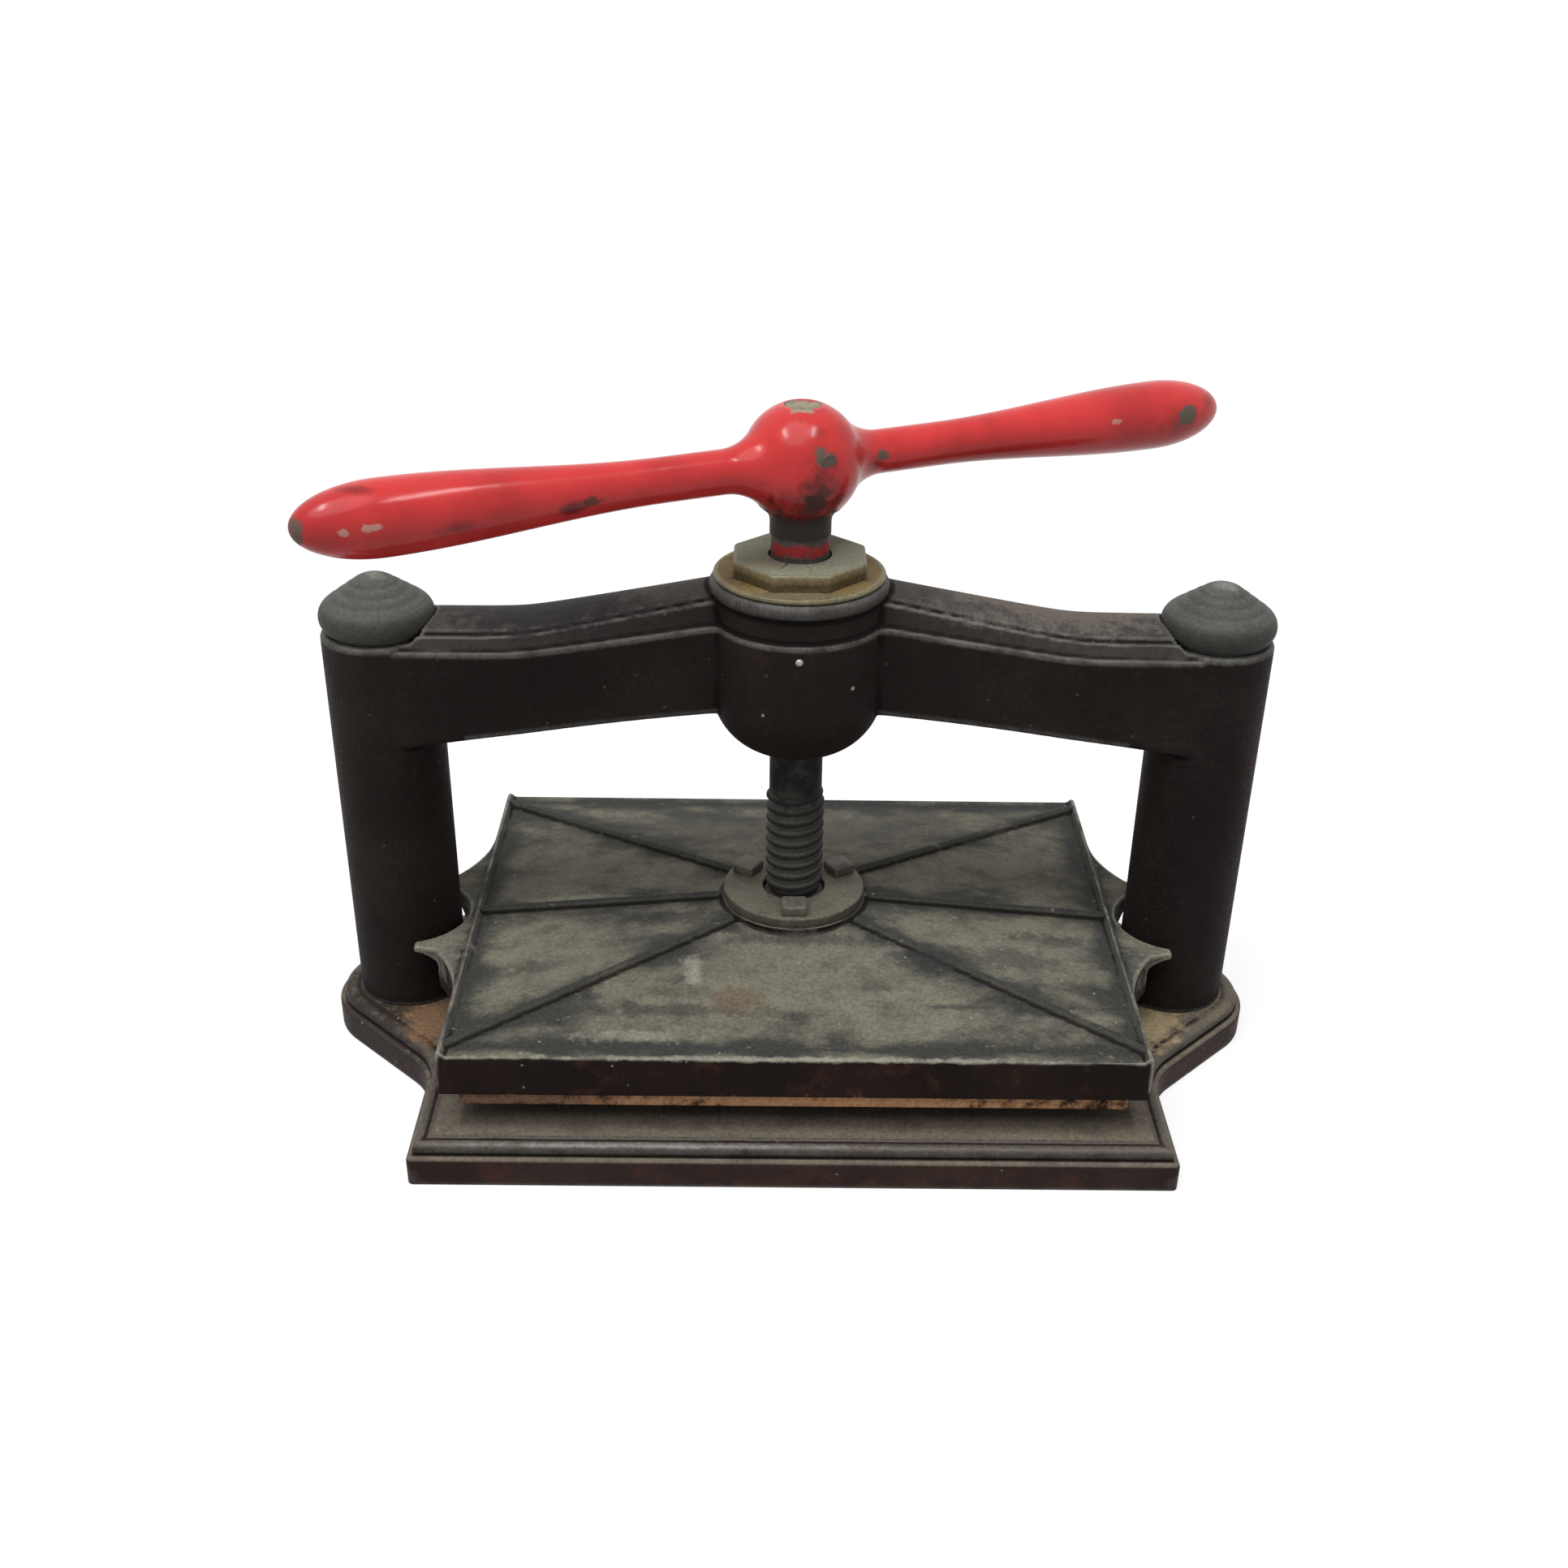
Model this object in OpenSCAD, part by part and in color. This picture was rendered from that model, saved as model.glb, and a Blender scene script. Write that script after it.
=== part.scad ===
// Cast-iron book press with a bronze-nutted screw and a two-ended handle.
// +X runs from column to column, +Y away from the user and +Z up.
// The origin is on the screw's axis, at the height of the bench.

/* [Bed] */
// Length of the bed along X
bed_l = 415; // [405:1:440]
// Depth of the bed along Y
bed_d = 335; // [325:1:380]
// Height of the bed
bed_h = 24; // [23.5:0.5:34]
// Height of the plain band at the foot of the bed
band_h = 15; // [12:0.5:15]
// Width of the band's rounded top edge
lip_w = 3.4; // [2:0.1:5]
// Height of the band's rounded top edge
lip_h = 2.2; // [1:0.1:3]
// Radius of the bead that runs round the bed, behind the band
bead_r = 3.7; // [3:0.1:4]
// Thickness of the bed's top plate
bed_plate_t = 11; // [8:0.5:16]
// Thickness of the bed's outer walls
bed_wall_t = 16; // [12:0.5:24]
// Thickness of the cross ribs under the bed
bed_rib_t = 12; // [6:0.5:20]
// Width of the ear round the foot of each column
ear_margin = 14; // [13:0.5:16]
// Radius of the hollow corner between an ear and the bed's side
ear_fillet_r = 40; // [15:1:60]
// Broadening of the bead where it runs round an ear
ear_swell = 1.35; // [1:0.05:1.4]

/* [Arch] */
// Distance between the columns' axes
col_span = 460; // [452:1:500]
// Diameter of a column
col_d = 63; // [61:1:66]
// Height of the columns' straight sides above the bed
col_h = 225.5; // [220:0.5:260]
// Height of the rounded shoulder on top of a column
shoulder_h = 2.5; // [1:0.5:4]
// Width of the rounded shoulder on top of a column
shoulder_w = 4; // [2:0.5:6]
// Depth of the beam, front to back
beam_d = 60; // [50:1:61]
// Height of the beam's front face at a column
beam_end_h = 55; // [45:1:60]
// Height of the beam's front face at the boss
beam_mid_h = 52; // [45:1:55]
// Slope of the beam's two arms
beam_slope = 0.125; // [0.08:0.005:0.14]
// Distance that the beam's front face lies back at the boss
beam_setback = 10; // [0:0.5:14]
// Distance from the screw to the bend in each arm
beam_bend_x = 150; // [130:1:170]
// Radius of the bead along the beam's top edges
line_r = 2.2; // [1.5:0.1:3]
// Height of the beam's round back above the bead at a column
crown_end_h = 13; // [8:0.5:15]
// Height of the beam's round back above the bead at the boss
crown_mid_h = 18.5; // [8:0.5:20]
// Diameter of the boss
boss_d = 96; // [84:0.2:100]
// Height from the boss's foot to its rim
boss_h = 101; // [98:0.5:110]
// Radius of the boss's rounded underside
bowl_r = 36; // [28:0.1:42]
// Diameter of the rim under the nut's flange
rim_d = 98; // [95:0.5:106]
// Height of the rim
rim_h = 9; // [6:0.5:10]
// Height of the hollow neck under the rim
boss_neck_h = 23; // [20:0.5:26]
// Depth of the hollow neck under the rim
boss_neck_in = 2.4; // [1:0.1:4]

/* [Tie rods] */
// Diameter of a tie rod
rod_d = 16; // [12:0.5:18]
// Diameter of a dome nut
finial_d = 63; // [60:0.5:68]
// Height of a dome nut
finial_h = 31.5; // [30:0.5:36]
// Diameter of the foot of a dome nut
finial_foot_d = 54; // [50:0.5:56]
// Radius of the bulging side of a dome nut
finial_bulge_r = 10; // [8:0.5:11]
// Radius of the hollow above the bulge
finial_hollow_r = 45; // [30:1:60]
// Radius of the round tip of a dome nut
finial_tip_r = 15; // [12:0.5:16]
// Width across the flats of the nut under the bed
tie_nut_af = 24; // [22:0.5:27]
// Height of the nut under the bed
tie_nut_h = 7; // [5:0.5:8]
// Diameter of the washer under the bed
tie_washer_d = 30; // [29:0.5:34]
// Thickness of the washer under the bed
tie_washer_t = 2; // [1.5:0.1:3]

/* [Screw] */
// Diameter over the thread
screw_d = 33.6; // [31:0.2:35]
// Rise of the screw in one turn
screw_lead = 7; // [6:0.5:8]
// Depth of the thread
thread_depth = 2.8; // [2:0.1:3.5]
// Diameter of the plain neck between the two runs of thread
screw_neck_d = 30.2; // [29:0.2:31]
// Length of the plain neck that shows below the boss
screw_neck_l = 28; // [16:0.5:34]
// Diameter of the plain ring under the handle
screw_ring_d = 31.4; // [30:0.2:33]
// Diameter of the collar held in the platen
collar_d = 52; // [46:1:56]
// Thickness of the collar
collar_t = 10; // [7:0.5:12]
// Diameter of the nose that bears on the thrust pad
nose_d = 30; // [24:1:34]
// Length of the nose below the collar
nose_l = 6; // [4:0.5:8]
// Diameter of the spigot that carries the handle
spigot_d = 19; // [16:0.5:21]

/* [Bronze nut] */
// Diameter of the flange
flange_d = 93.4; // [88:0.2:95]
// Thickness of the flange
flange_t = 3; // [2:0.2:5]
// Width across the flats of the eight-sided head
nut_af = 71; // [66:0.5:76]
// Height of the eight-sided head
nut_head_h = 9; // [7:0.5:11]
// Diameter of the sleeve inside the boss
sleeve_d = 60; // [54:1:64]
// Length of the sleeve inside the boss
sleeve_l = 78; // [70:1:82]
// Diameter of the locking pin
lock_pin_d = 4; // [3:0.5:7]
// Distance from the top of the boss down to the locking pin
lock_pin_drop = 31; // [29:0.5:36]

/* [Platen] */
// Length of the platen along X
platen_l = 380; // [360:1:384]
// Depth of the platen along Y
platen_d = 300; // [290:1:320]
// Height of the platen's upright edge
platen_edge_h = 25; // [20:0.5:28]
// Rise of the hipped top above the upright edge
platen_rise = 13; // [10:0.5:15]
// Width of the flat rim along the platen's front and back
platen_rim_w = 10; // [6:0.5:14]
// Width of the flat rim along the platen's ends
end_rim_w = 6; // [5:0.5:10]
// Width of the raised strip along the platen's ends
strip_w = 4.4; // [3:0.2:5]
// Height of the raised strip along the platen's ends
strip_h = 2.2; // [1:0.2:3]
// Thickness of the raised pressing face under the platen
face_t = 9; // [6:0.5:12]
// Set-back of the pressing face from the platen's front and back
face_inset_d = 4; // [2:0.5:10]
// Set-back of the pressing face from the platen's ends
face_inset_l = 10; // [2:0.5:14]
// Gap between the bed and the pressing face at rest
rest_gap = 14; // [8:0.5:20]
// Half width of a guide ear
guide_half_w = 44; // [42:0.5:50]
// Reach of a guide ear past the platen's edge
guide_reach = 30; // [27:0.5:32]
// Clearance of a guide ear round its column
guide_clear = 5; // [3:0.5:6]
// Thickness of a guide ear at its tips
guide_tip_t = 4; // [3:0.5:8]
// Radius of the hollow flank of a guide ear
flank_r = 85; // [70:1:100]
// Length of the hollow flank along the platen's edge
flank_l = 51; // [45:1:60]
// Width of a rib
rib_w = 6; // [4:0.5:8]
// Height of a rib
rib_h = 3; // [2:0.2:4]

/* [Keeper] */
// Diameter of the keeper ring
ring_d = 83; // [80:0.5:88]
// Thickness of the keeper ring
ring_t = 6; // [4:0.5:8]
// Diameter of the hole in the keeper ring
ring_hole_d = 36; // [36:0.5:44]
// Radius of the circle of bolts
bolt_ring_r = 31.5; // [31:0.5:33]
// Width of a square bolt head
bolt_head_w = 14; // [10:0.5:15]
// Height of a square bolt head
bolt_head_h = 6; // [3:0.2:7]
// Diameter of a bolt's shank
bolt_d = 7; // [5:0.5:8]
// Length of a bolt's shank
bolt_l = 18; // [14:0.5:20]
// Thickness of the thrust pad
pad_t = 6; // [4:0.5:8]
// Height of the round seat under the keeper ring
seat_h = 2; // [1:0.2:3]

/* [Handle] */
// Length of the handle from tip to tip
handle_l = 534; // [480:2:560]
// Diameter of a grip at its fullest
grip_d = 37.6; // [30:0.2:40]
// Diameter of an arm at its waist
arm_d = 23; // [18:0.2:26]
// Distance from the screw to the waist of an arm
arm_waist_x = 78; // [55:1:90]
// Length of the round end of a grip
grip_end_l = 44; // [30:1:50]
// Diameter of the hub
hub_d = 63.5; // [58:0.5:66]
// Radius of the hollow between the hub and an arm
hub_fillet_r = 30; // [12:1:34]
// Diameter of the neck under the hub
hub_neck_d = 33; // [30:0.5:33.5]
// Height of the handle's axis above the foot of its neck
hub_drop = 38; // [36:0.5:44]
// Height of the handle's axis above the nut's head
handle_lift = 50; // [50:0.5:60]
// Angle of the handle at rest
handle_angle = 26; // [0:1:90]
// Diameter of the cross pin
handle_pin_d = 8; // [6:0.5:9]
// Height of the cross pin above the handle's axis
handle_pin_lift = 8; // [6:0.5:9]

/* [Fits] */
// Gap between pieces that are fitted together
fit_gap = 0.2; // [0.1:0.05:0.3]
// Gap between pieces that run on each other
run_gap = 0.4; // [0.3:0.05:0.6]

/* [Hidden] */
$fn = 64;
past = 1;               // how far a cut runs past the face that it opens, or a form into the next one
bevel = 1;              // small filed or turned edge
bench_gap = 1;          // height of the tie rods' ends above the bench
diagonal = 45;          // direction of an ear's straight flanks
col_x = col_span / 2;
col_r = col_d / 2;
col_top = bed_h + col_h;
finial_z = col_top + shoulder_h;
face_z = bed_h + rest_gap;
skirt_z = face_z + face_t;
edge_z = skirt_z + platen_edge_h;
seat_z = edge_z + platen_rise + seat_h;
ring_top = seat_z + ring_t;
collar_top = seat_z - run_gap;
collar_z = collar_top - collar_t;
nose_z = collar_z - nose_l;
pad_z = nose_z - run_gap - pad_t;
boss_r = boss_d / 2;
// Rise of the beam's top front edge at a distance x from the screw, from the bend to the boss
bend_soft = 12;
function beam_rise(x) = let (t = beam_bend_x - max(abs(x), boss_r))
    beam_slope * (t + sqrt(t * t + bend_soft * bend_soft)) / 2;
function beam_top(x) = col_top + beam_rise(x) - beam_rise(col_x);
function beam_share(x) = (beam_top(x) - col_top) / (beam_top(boss_r) - col_top);
beam_foot_end = col_top - beam_end_h;
beam_foot_mid = beam_top(boss_r) - beam_mid_h;
beam_foot_curve = 0.5;  // share of the underside's climb that is an arch, the rest is straight
function beam_foot(x) = let (s = (col_x - col_r - abs(x)) / (col_x - col_r - boss_r))
    beam_foot_end + (beam_foot_mid - beam_foot_end) * (s + beam_foot_curve * s * (1 - s));
boss_top = beam_top(boss_r) + boss_neck_h;
boss_z = boss_top - boss_h;
nut_z = boss_top;
nut_top = nut_z + flange_t + nut_head_h;
handle_z = nut_top + handle_lift;
hub_foot_z = handle_z - hub_drop;
hub_r = hub_d / 2;
nut_bore_d = screw_d + 2 * run_gap;
tie_seat_z = bench_gap + tie_nut_h + tie_washer_t;
counterbore_d = tie_washer_d + 4 * run_gap;
iron = [0.15, 0.14, 0.14];
worn_iron = [0.38, 0.37, 0.33];
steel = [0.42, 0.41, 0.40];
bronze = [0.55, 0.45, 0.25];
enamel = [0.78, 0.13, 0.12];

// Points on a circular or elliptical arc in a plane
function arc(centre, rx, ry, from, to, steps) = [
    for (i = [0 : steps]) let (a = from + (to - from) * i / steps)
        centre + [rx * cos(a), ry * sin(a)]
];
function at_height(outline, z) = [for (p = outline) [p[0], p[1], z]];
function at_station(outline, x) = [for (p = outline) [x, p[0], p[1]]];
function mean(points) = [for (k = [0 : 2]) sum([for (p = points) p[k]]) / len(points)];
function sum(list, i = 0) = i < len(list) ? list[i] + sum(list, i + 1) : 0;

// A skin over rings of equal count, each closed to its own middle at the two ends
module loft(rings) {
    count = len(rings[0]);
    last = len(rings) - 1;
    start_middle = count * len(rings);
    points = concat([for (ring = rings) each ring], [mean(rings[0]), mean(rings[last])]);
    sides = [
        for (k = [0 : last - 1]) for (i = [0 : count - 1])
            let (a = k * count + i, b = k * count + (i + 1) % count)
            each [[a, b + count, b], [a, a + count, b + count]]
    ];
    ends = [
        for (i = [0 : count - 1]) let (j = (i + 1) % count)
            each [[start_middle, i, j], [start_middle + 1, last * count + j, last * count + i]]
    ];
    polyhedron(points, concat(sides, ends));
}

// Plan of the bed and its two ears, drawn in by inset
ear_steps = 12;
fillet_steps = 5;
function swollen(inset) = inset <= lip_w ? inset : lip_w + (inset - lip_w) * ear_swell;
function bed_outline(inset) = let (
    side = bed_l / 2 - inset,
    end = bed_d / 2 - inset,
    ear_r = col_r + ear_margin - swollen(inset),
    fillet_r = ear_fillet_r + inset,
    fillet_x = side + fillet_r,
    fillet_y = (ear_r + fillet_r) / cos(diagonal) - (fillet_x - col_x) * tan(diagonal),
    right = concat(
        [[side, -end]],
        arc([fillet_x, -fillet_y], fillet_r, fillet_r, 180, 180 - diagonal, fillet_steps),
        arc([col_x, 0], ear_r, ear_r, -diagonal, diagonal, ear_steps),
        arc([fillet_x, fillet_y], fillet_r, fillet_r, 180 + diagonal, 180, fillet_steps),
        [[side, end]]
    ))
    concat(right, [for (p = right) -p]);

// Steps of the moulding from the bench up, as inset and height: band, rounded lip, groove, bead, quirk
lip_steps = 4;
bead_steps = 7;
bead_start = -55;
bead_stop = 130;
quirk_w = 1;
moulding = concat(
    [[0, 0]],
    arc([lip_w, band_h], -lip_w, lip_h, 0, 90, lip_steps),
    arc([lip_w + bead_r, bed_h - bead_r], -bead_r, bead_r, bead_start, bead_stop, bead_steps),
    [[lip_w + bead_r * (1 - cos(bead_stop)) + quirk_w, bed_h]]
);

module bed_pockets() {
    pocket_l = (bed_l - 2 * bed_wall_t - bed_rib_t) / 2;
    pocket_d = (bed_d - 2 * bed_wall_t - bed_rib_t) / 2;
    pocket_h = bed_h - bed_plate_t;
    for (sx = [-1, 1]) for (sy = [-1, 1])
        translate([sx * (bed_rib_t + pocket_l) / 2, sy * (bed_rib_t + pocket_d) / 2, pocket_h / 2])
            cube([pocket_l, pocket_d, pocket_h + 2 * past], center = true);
}

module bed_casting() {
    color(iron) difference() {
        loft([for (step = moulding) at_height(bed_outline(step[0]), step[1])]);
        translate([0, 0, -past]) bed_pockets();
        for (sx = [-1, 1]) translate([sx * col_x, 0, 0]) {
            translate([0, 0, -past]) cylinder(d = counterbore_d, h = tie_seat_z + past);
            cylinder(d = rod_d + 2 * fit_gap, h = bed_h + past);
        }
    }
}

// Section of the beam at a distance x from the screw, as Y and Z, seen from +X
line_steps = 4;
crown_steps = 7;
foot_round = 4;
foot_steps = 3;
function beam_section(x) = let (
    setback = beam_setback * beam_share(x),
    half = (beam_d - setback) / 2,
    middle = setback / 2,
    top = beam_top(x),
    foot = beam_foot(x),
    line_z = top - line_r,
    crown_h = crown_end_h + (crown_mid_h - crown_end_h) * beam_share(x),
    back = concat(
        arc([half - foot_round, foot + foot_round], foot_round, foot_round, -90, 0, foot_steps),
        arc([half - line_r, line_z], line_r, line_r, 0, 120, line_steps),
        arc([0, line_z], half - 2 * line_r, crown_h + line_r, 5, 80, crown_steps)
    ),
    last = len(back) - 1)
    concat(
        [for (p = back) [middle + p[0], p[1]]],
        [for (i = [last : -1 : 0]) [middle - back[i][0], back[i][1]]]
    );

beam_steps = 24;
beam_sink = 4;          // how far the beam's ends stop short of the columns' axes
module beam() {
    reach = col_x - beam_sink;
    stations = [for (i = [0 : beam_steps]) reach * (2 * i / beam_steps - 1)];
    loft([for (x = stations) at_station(beam_section(x), x)]);
}

// Boss turned about the screw's axis: rounded underside, wall, hollow neck and rim
bowl_steps = 9;
module boss() {
    bowl_c = [boss_r - bowl_r, boss_z + bowl_r];
    wall_top = boss_top - boss_neck_h;
    neck_r = boss_r - boss_neck_in;
    rotate_extrude() polygon(concat(
        [[0, boss_z]],
        arc(bowl_c, bowl_r, bowl_r, -90, 0, bowl_steps),
        [
            [boss_r, wall_top],
            [neck_r, wall_top + boss_neck_in],
            [neck_r, boss_top - rim_h - boss_neck_in],
            [rim_d / 2 - bevel, boss_top - rim_h],
            [rim_d / 2, boss_top - rim_h / 2],
            [rim_d / 2 - bevel, boss_top],
            [0, boss_top]
        ]
    ));
}

shoulder_steps = 4;
module column() {
    rotate_extrude() polygon(concat(
        [[0, bed_h], [col_r, bed_h]],
        arc([col_r - shoulder_w, col_top], shoulder_w, shoulder_h, 0, 90, shoulder_steps),
        [[0, finial_z]]
    ));
}

module arch_casting() {
    color(iron) difference() {
        union() {
            for (sx = [-1, 1]) translate([sx * col_x, 0, 0]) column();
            beam();
            boss();
        }
        for (sx = [-1, 1]) translate([sx * col_x, 0, 0]) {
            cylinder(d = rod_d + 2 * fit_gap, h = finial_z + past);
            translate([0, 0, finial_z]) cylinder(d = finial_d + 2 * run_gap, h = finial_h);
        }
        translate([0, 0, boss_z - past]) cylinder(d = nut_bore_d + 2 * run_gap, h = boss_h);
        translate([0, 0, boss_top - sleeve_l - run_gap])
            cylinder(d = sleeve_d + 2 * fit_gap, h = sleeve_l + run_gap + past);
        lock_pin_hole();
    }
}

module at_lock_pin() {
    translate([0, -boss_r, boss_top - lock_pin_drop]) rotate([-90, 0, 0]) children();
}
lock_pin_in = 8;        // how far the locking pin reaches into the nut's sleeve
lock_pin_l = boss_r - sleeve_d / 2 + lock_pin_in;
module lock_pin_hole() {
    at_lock_pin() translate([0, 0, -past])
        cylinder(d = lock_pin_d + 2 * fit_gap, h = lock_pin_l + fit_gap + past);
}

module nut_locking_pin() {
    color(steel) at_lock_pin() rotate_extrude() polygon([
        [0, -bevel], [lock_pin_d / 2 - bevel, -bevel], [lock_pin_d / 2, 0],
        [lock_pin_d / 2, lock_pin_l], [0, lock_pin_l]
    ]);
}

rod_grip = 20;          // length of a tie rod's thread inside its dome nut
module tie_rod(side) {
    rod_top = finial_z + rod_grip;
    color(steel) translate([side * col_x, 0, bench_gap]) cylinder(d = rod_d, h = rod_top - bench_gap);
}

// Dome nut turned about the column's axis: bulge, hollow and tip are arcs that run into each other
bulge_at = let (r = finial_d / 2 - finial_bulge_r)
    [r, sqrt(pow(finial_bulge_r, 2) - pow(finial_foot_d / 2 - r, 2))];
tip_at = [0, finial_h - finial_tip_r];
hollow_at = meeting(bulge_at, finial_bulge_r + finial_hollow_r, tip_at, finial_tip_r + finial_hollow_r);
finial_steps = 6;
// Meeting point of two circles, on the right of the line from the first middle to the second
function meeting(a, ra, b, rb) = let (
    run = (b - a) / norm(b - a),
    along = (ra * ra - rb * rb + pow(norm(b - a), 2)) / (2 * norm(b - a)),
    aside = sqrt(ra * ra - along * along))
    a + along * run + aside * [run[1], -run[0]];
function heading(from, to) = atan2(to[1] - from[1], to[0] - from[0]);
module finial_nut(side) {
    foot = heading(bulge_at, [finial_foot_d / 2, 0]);
    up = heading(bulge_at, hollow_at);
    over = heading(tip_at, hollow_at);
    color(iron) translate([side * col_x, 0, finial_z]) difference() {
        rotate_extrude() polygon(concat(
            [[0, 0]],
            arc(bulge_at, finial_bulge_r, finial_bulge_r, foot, up, 2 * finial_steps),
            arc(hollow_at, finial_hollow_r, finial_hollow_r, 180 + up, 180 + over, finial_steps),
            arc(tip_at, finial_tip_r, finial_tip_r, over, 90, finial_steps)
        ));
        translate([0, 0, -past]) cylinder(d = rod_d + 2 * fit_gap, h = rod_grip + fit_gap + past);
    }
}

module tie_washer(side) {
    color(steel) translate([side * col_x, 0, tie_seat_z - tie_washer_t]) difference() {
        cylinder(d = tie_washer_d, h = tie_washer_t);
        translate([0, 0, -past]) cylinder(d = rod_d + 2 * fit_gap, h = tie_washer_t + 2 * past);
    }
}

module tie_nut(side) {
    color(steel) translate([side * col_x, 0, bench_gap]) difference() {
        cylinder(d = tie_nut_af / cos(30), h = tie_nut_h, $fn = 6);
        translate([0, 0, -past]) cylinder(d = rod_d + 2 * fit_gap, h = tie_nut_h + 2 * past);
    }
}

nut_sides = 8;
module bronze_nut() {
    half_side = 180 / nut_sides;
    color(bronze) difference() {
        union() {
            translate([0, 0, nut_z - sleeve_l]) cylinder(d = sleeve_d, h = sleeve_l + past);
            translate([0, 0, nut_z]) cylinder(d = flange_d, h = flange_t);
            translate([0, 0, nut_z + past]) rotate([0, 0, half_side])
                cylinder(d = nut_af / cos(half_side), h = flange_t + nut_head_h - past, $fn = nut_sides);
        }
        translate([0, 0, nut_z - sleeve_l - past])
            cylinder(d = nut_bore_d, h = sleeve_l + flange_t + nut_head_h + 2 * past);
        lock_pin_hole();
    }
}

// Plan of the right-hand guide ear, from inside the platen
flank_steps = 12;
guide_root = 20;        // how far the ear's plan runs into the platen
guide_tip_taper = 3;
function guide_plan() = let (
    edge = platen_l / 2,
    turn = asin(flank_l / flank_r),
    flank = arc([edge + flank_r, -guide_half_w - flank_l], flank_r, flank_r, 180, 180 - turn, flank_steps),
    front = concat(
        [[edge - guide_root, -guide_half_w - flank_l]],
        flank,
        [[edge + guide_reach, guide_tip_taper - guide_half_w]]
    ),
    last = len(front) - 1)
    concat(front, [for (i = [0 : last]) [front[last - i][0], -front[last - i][1]]]);

// A rib from one point to another on the platen's top, with a rounded back
rib_sink = 4;           // how deep a rib is rooted
rib_steps = 6;
module rib(from, to) {
    run = to - from;
    flat_run = norm([run[0], run[1]]);
    profile = concat(
        [[-rib_w / 2, -rib_sink], [rib_w / 2, -rib_sink]],
        arc([0, 0], rib_w / 2, rib_h, 0, 180, rib_steps)
    );
    translate(from) rotate([0, 0, atan2(run[1], run[0])]) rotate([0, -atan2(run[2], flat_run), 0])
        rotate([90, 0, 90]) linear_extrude(norm(run)) polygon(profile);
}

flat_l = ring_d / 2 - rib_w;
flat_d = flat_l * platen_d / platen_l;
module platen_ribs() {
    corner = [(platen_l - strip_w) / 2, platen_d / 2 - platen_rim_w, edge_z];
    for (sx = [-1, 1]) for (sy = [-1, 0, 1])
        rib([sx * corner[0], sy * corner[1], corner[2]], [sx * flat_l, sy * flat_d, edge_z + platen_rise]);
}

// Raised strip with a rounded back along each end of the platen
module end_strips() {
    profile = concat(
        [[-strip_w / 2, -rib_sink], [strip_w / 2, -rib_sink]],
        arc([0, 0], strip_w / 2, strip_h, 0, 180, rib_steps)
    );
    for (sx = [-1, 1]) translate([sx * (platen_l - strip_w) / 2, 0, edge_z])
        rotate([90, 0, 0]) linear_extrude(platen_d, center = true) polygon(profile);
}

// Upright edge and hipped top, as the meeting of two gabled bars
module platen_body() {
    half_l = platen_l / 2;
    half_d = platen_d / 2;
    slope_l = half_l - end_rim_w;
    slope_d = half_d - platen_rim_w;
    top = platen_edge_h + platen_rise;
    translate([0, 0, skirt_z]) intersection() {
        rotate([90, 0, 0]) linear_extrude(platen_d, center = true) polygon([
            [-half_l, 0], [half_l, 0], [half_l, platen_edge_h], [slope_l, platen_edge_h],
            [flat_l, top], [-flat_l, top], [-slope_l, platen_edge_h], [-half_l, platen_edge_h]
        ]);
        rotate([90, 0, 90]) linear_extrude(platen_l, center = true) polygon([
            [-half_d, 0], [half_d, 0], [half_d, platen_edge_h], [slope_d, platen_edge_h],
            [flat_d, top], [-flat_d, top], [-slope_d, platen_edge_h], [-half_d, platen_edge_h]
        ]);
    }
}

socket_d = collar_d + 2 * run_gap;
seat_margin = 1;
module platen_casting() {
    color(worn_iron) difference() {
        union() {
            platen_body();
            for (side = [0, 1]) mirror([side, 0, 0])
                translate([0, 0, skirt_z]) linear_extrude(platen_edge_h) polygon(guide_plan());
            translate([0, 0, edge_z]) cylinder(d = ring_d + 2 * seat_margin, h = seat_z - edge_z);
            translate([0, 0, face_z]) linear_extrude(face_t + past)
                square([platen_l - 2 * face_inset_l, platen_d - 2 * face_inset_d], center = true);
            platen_ribs();
            end_strips();
        }
        for (sx = [-1, 1]) {
            translate([sx * col_x, 0, face_z]) cylinder(r = col_r + guide_clear, h = seat_z);
            translate([sx * (platen_l / 2 + guide_reach), 0, skirt_z]) rotate([90, 0, 0])
                cylinder(r = platen_edge_h - guide_tip_t, h = 2 * (guide_half_w + past), center = true);
        }
        translate([0, 0, pad_z]) cylinder(d = socket_d, h = seat_z);
        translate([0, 0, seat_z]) cylinder(d = ring_d + 2 * run_gap, h = rib_h + past);
        for (turn = bolt_turns) at_bolt(turn) bolt_hole();
    }
}

module thrust_pad() {
    color(steel) translate([0, 0, pad_z]) cylinder(d = socket_d - 2 * fit_gap, h = pad_t);
}

bolt_turns = [-90, 30, 150];
module at_bolt(turn) {
    rotate([0, 0, turn]) translate([bolt_ring_r, 0, ring_top]) children();
}
module bolt_hole() {
    translate([0, 0, -bolt_l - fit_gap]) cylinder(d = bolt_d + 2 * fit_gap, h = bolt_l + bolt_head_h);
}

module keeper_ring() {
    edge = ring_d / 2;
    color(worn_iron) difference() {
        rotate_extrude() polygon([
            [ring_hole_d / 2, seat_z], [edge, seat_z], [edge, ring_top - bevel], [edge - bevel, ring_top],
            [ring_hole_d / 2, ring_top]
        ]);
        for (turn = bolt_turns) at_bolt(turn) bolt_hole();
    }
}

module keeper_bolt(turn) {
    color(steel) at_bolt(turn) {
        translate([0, 0, bolt_head_h / 2]) cube([bolt_head_w, bolt_head_w, bolt_head_h], center = true);
        translate([0, 0, -bolt_l]) cylinder(d = bolt_d, h = bolt_l + past);
    }
}

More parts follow.
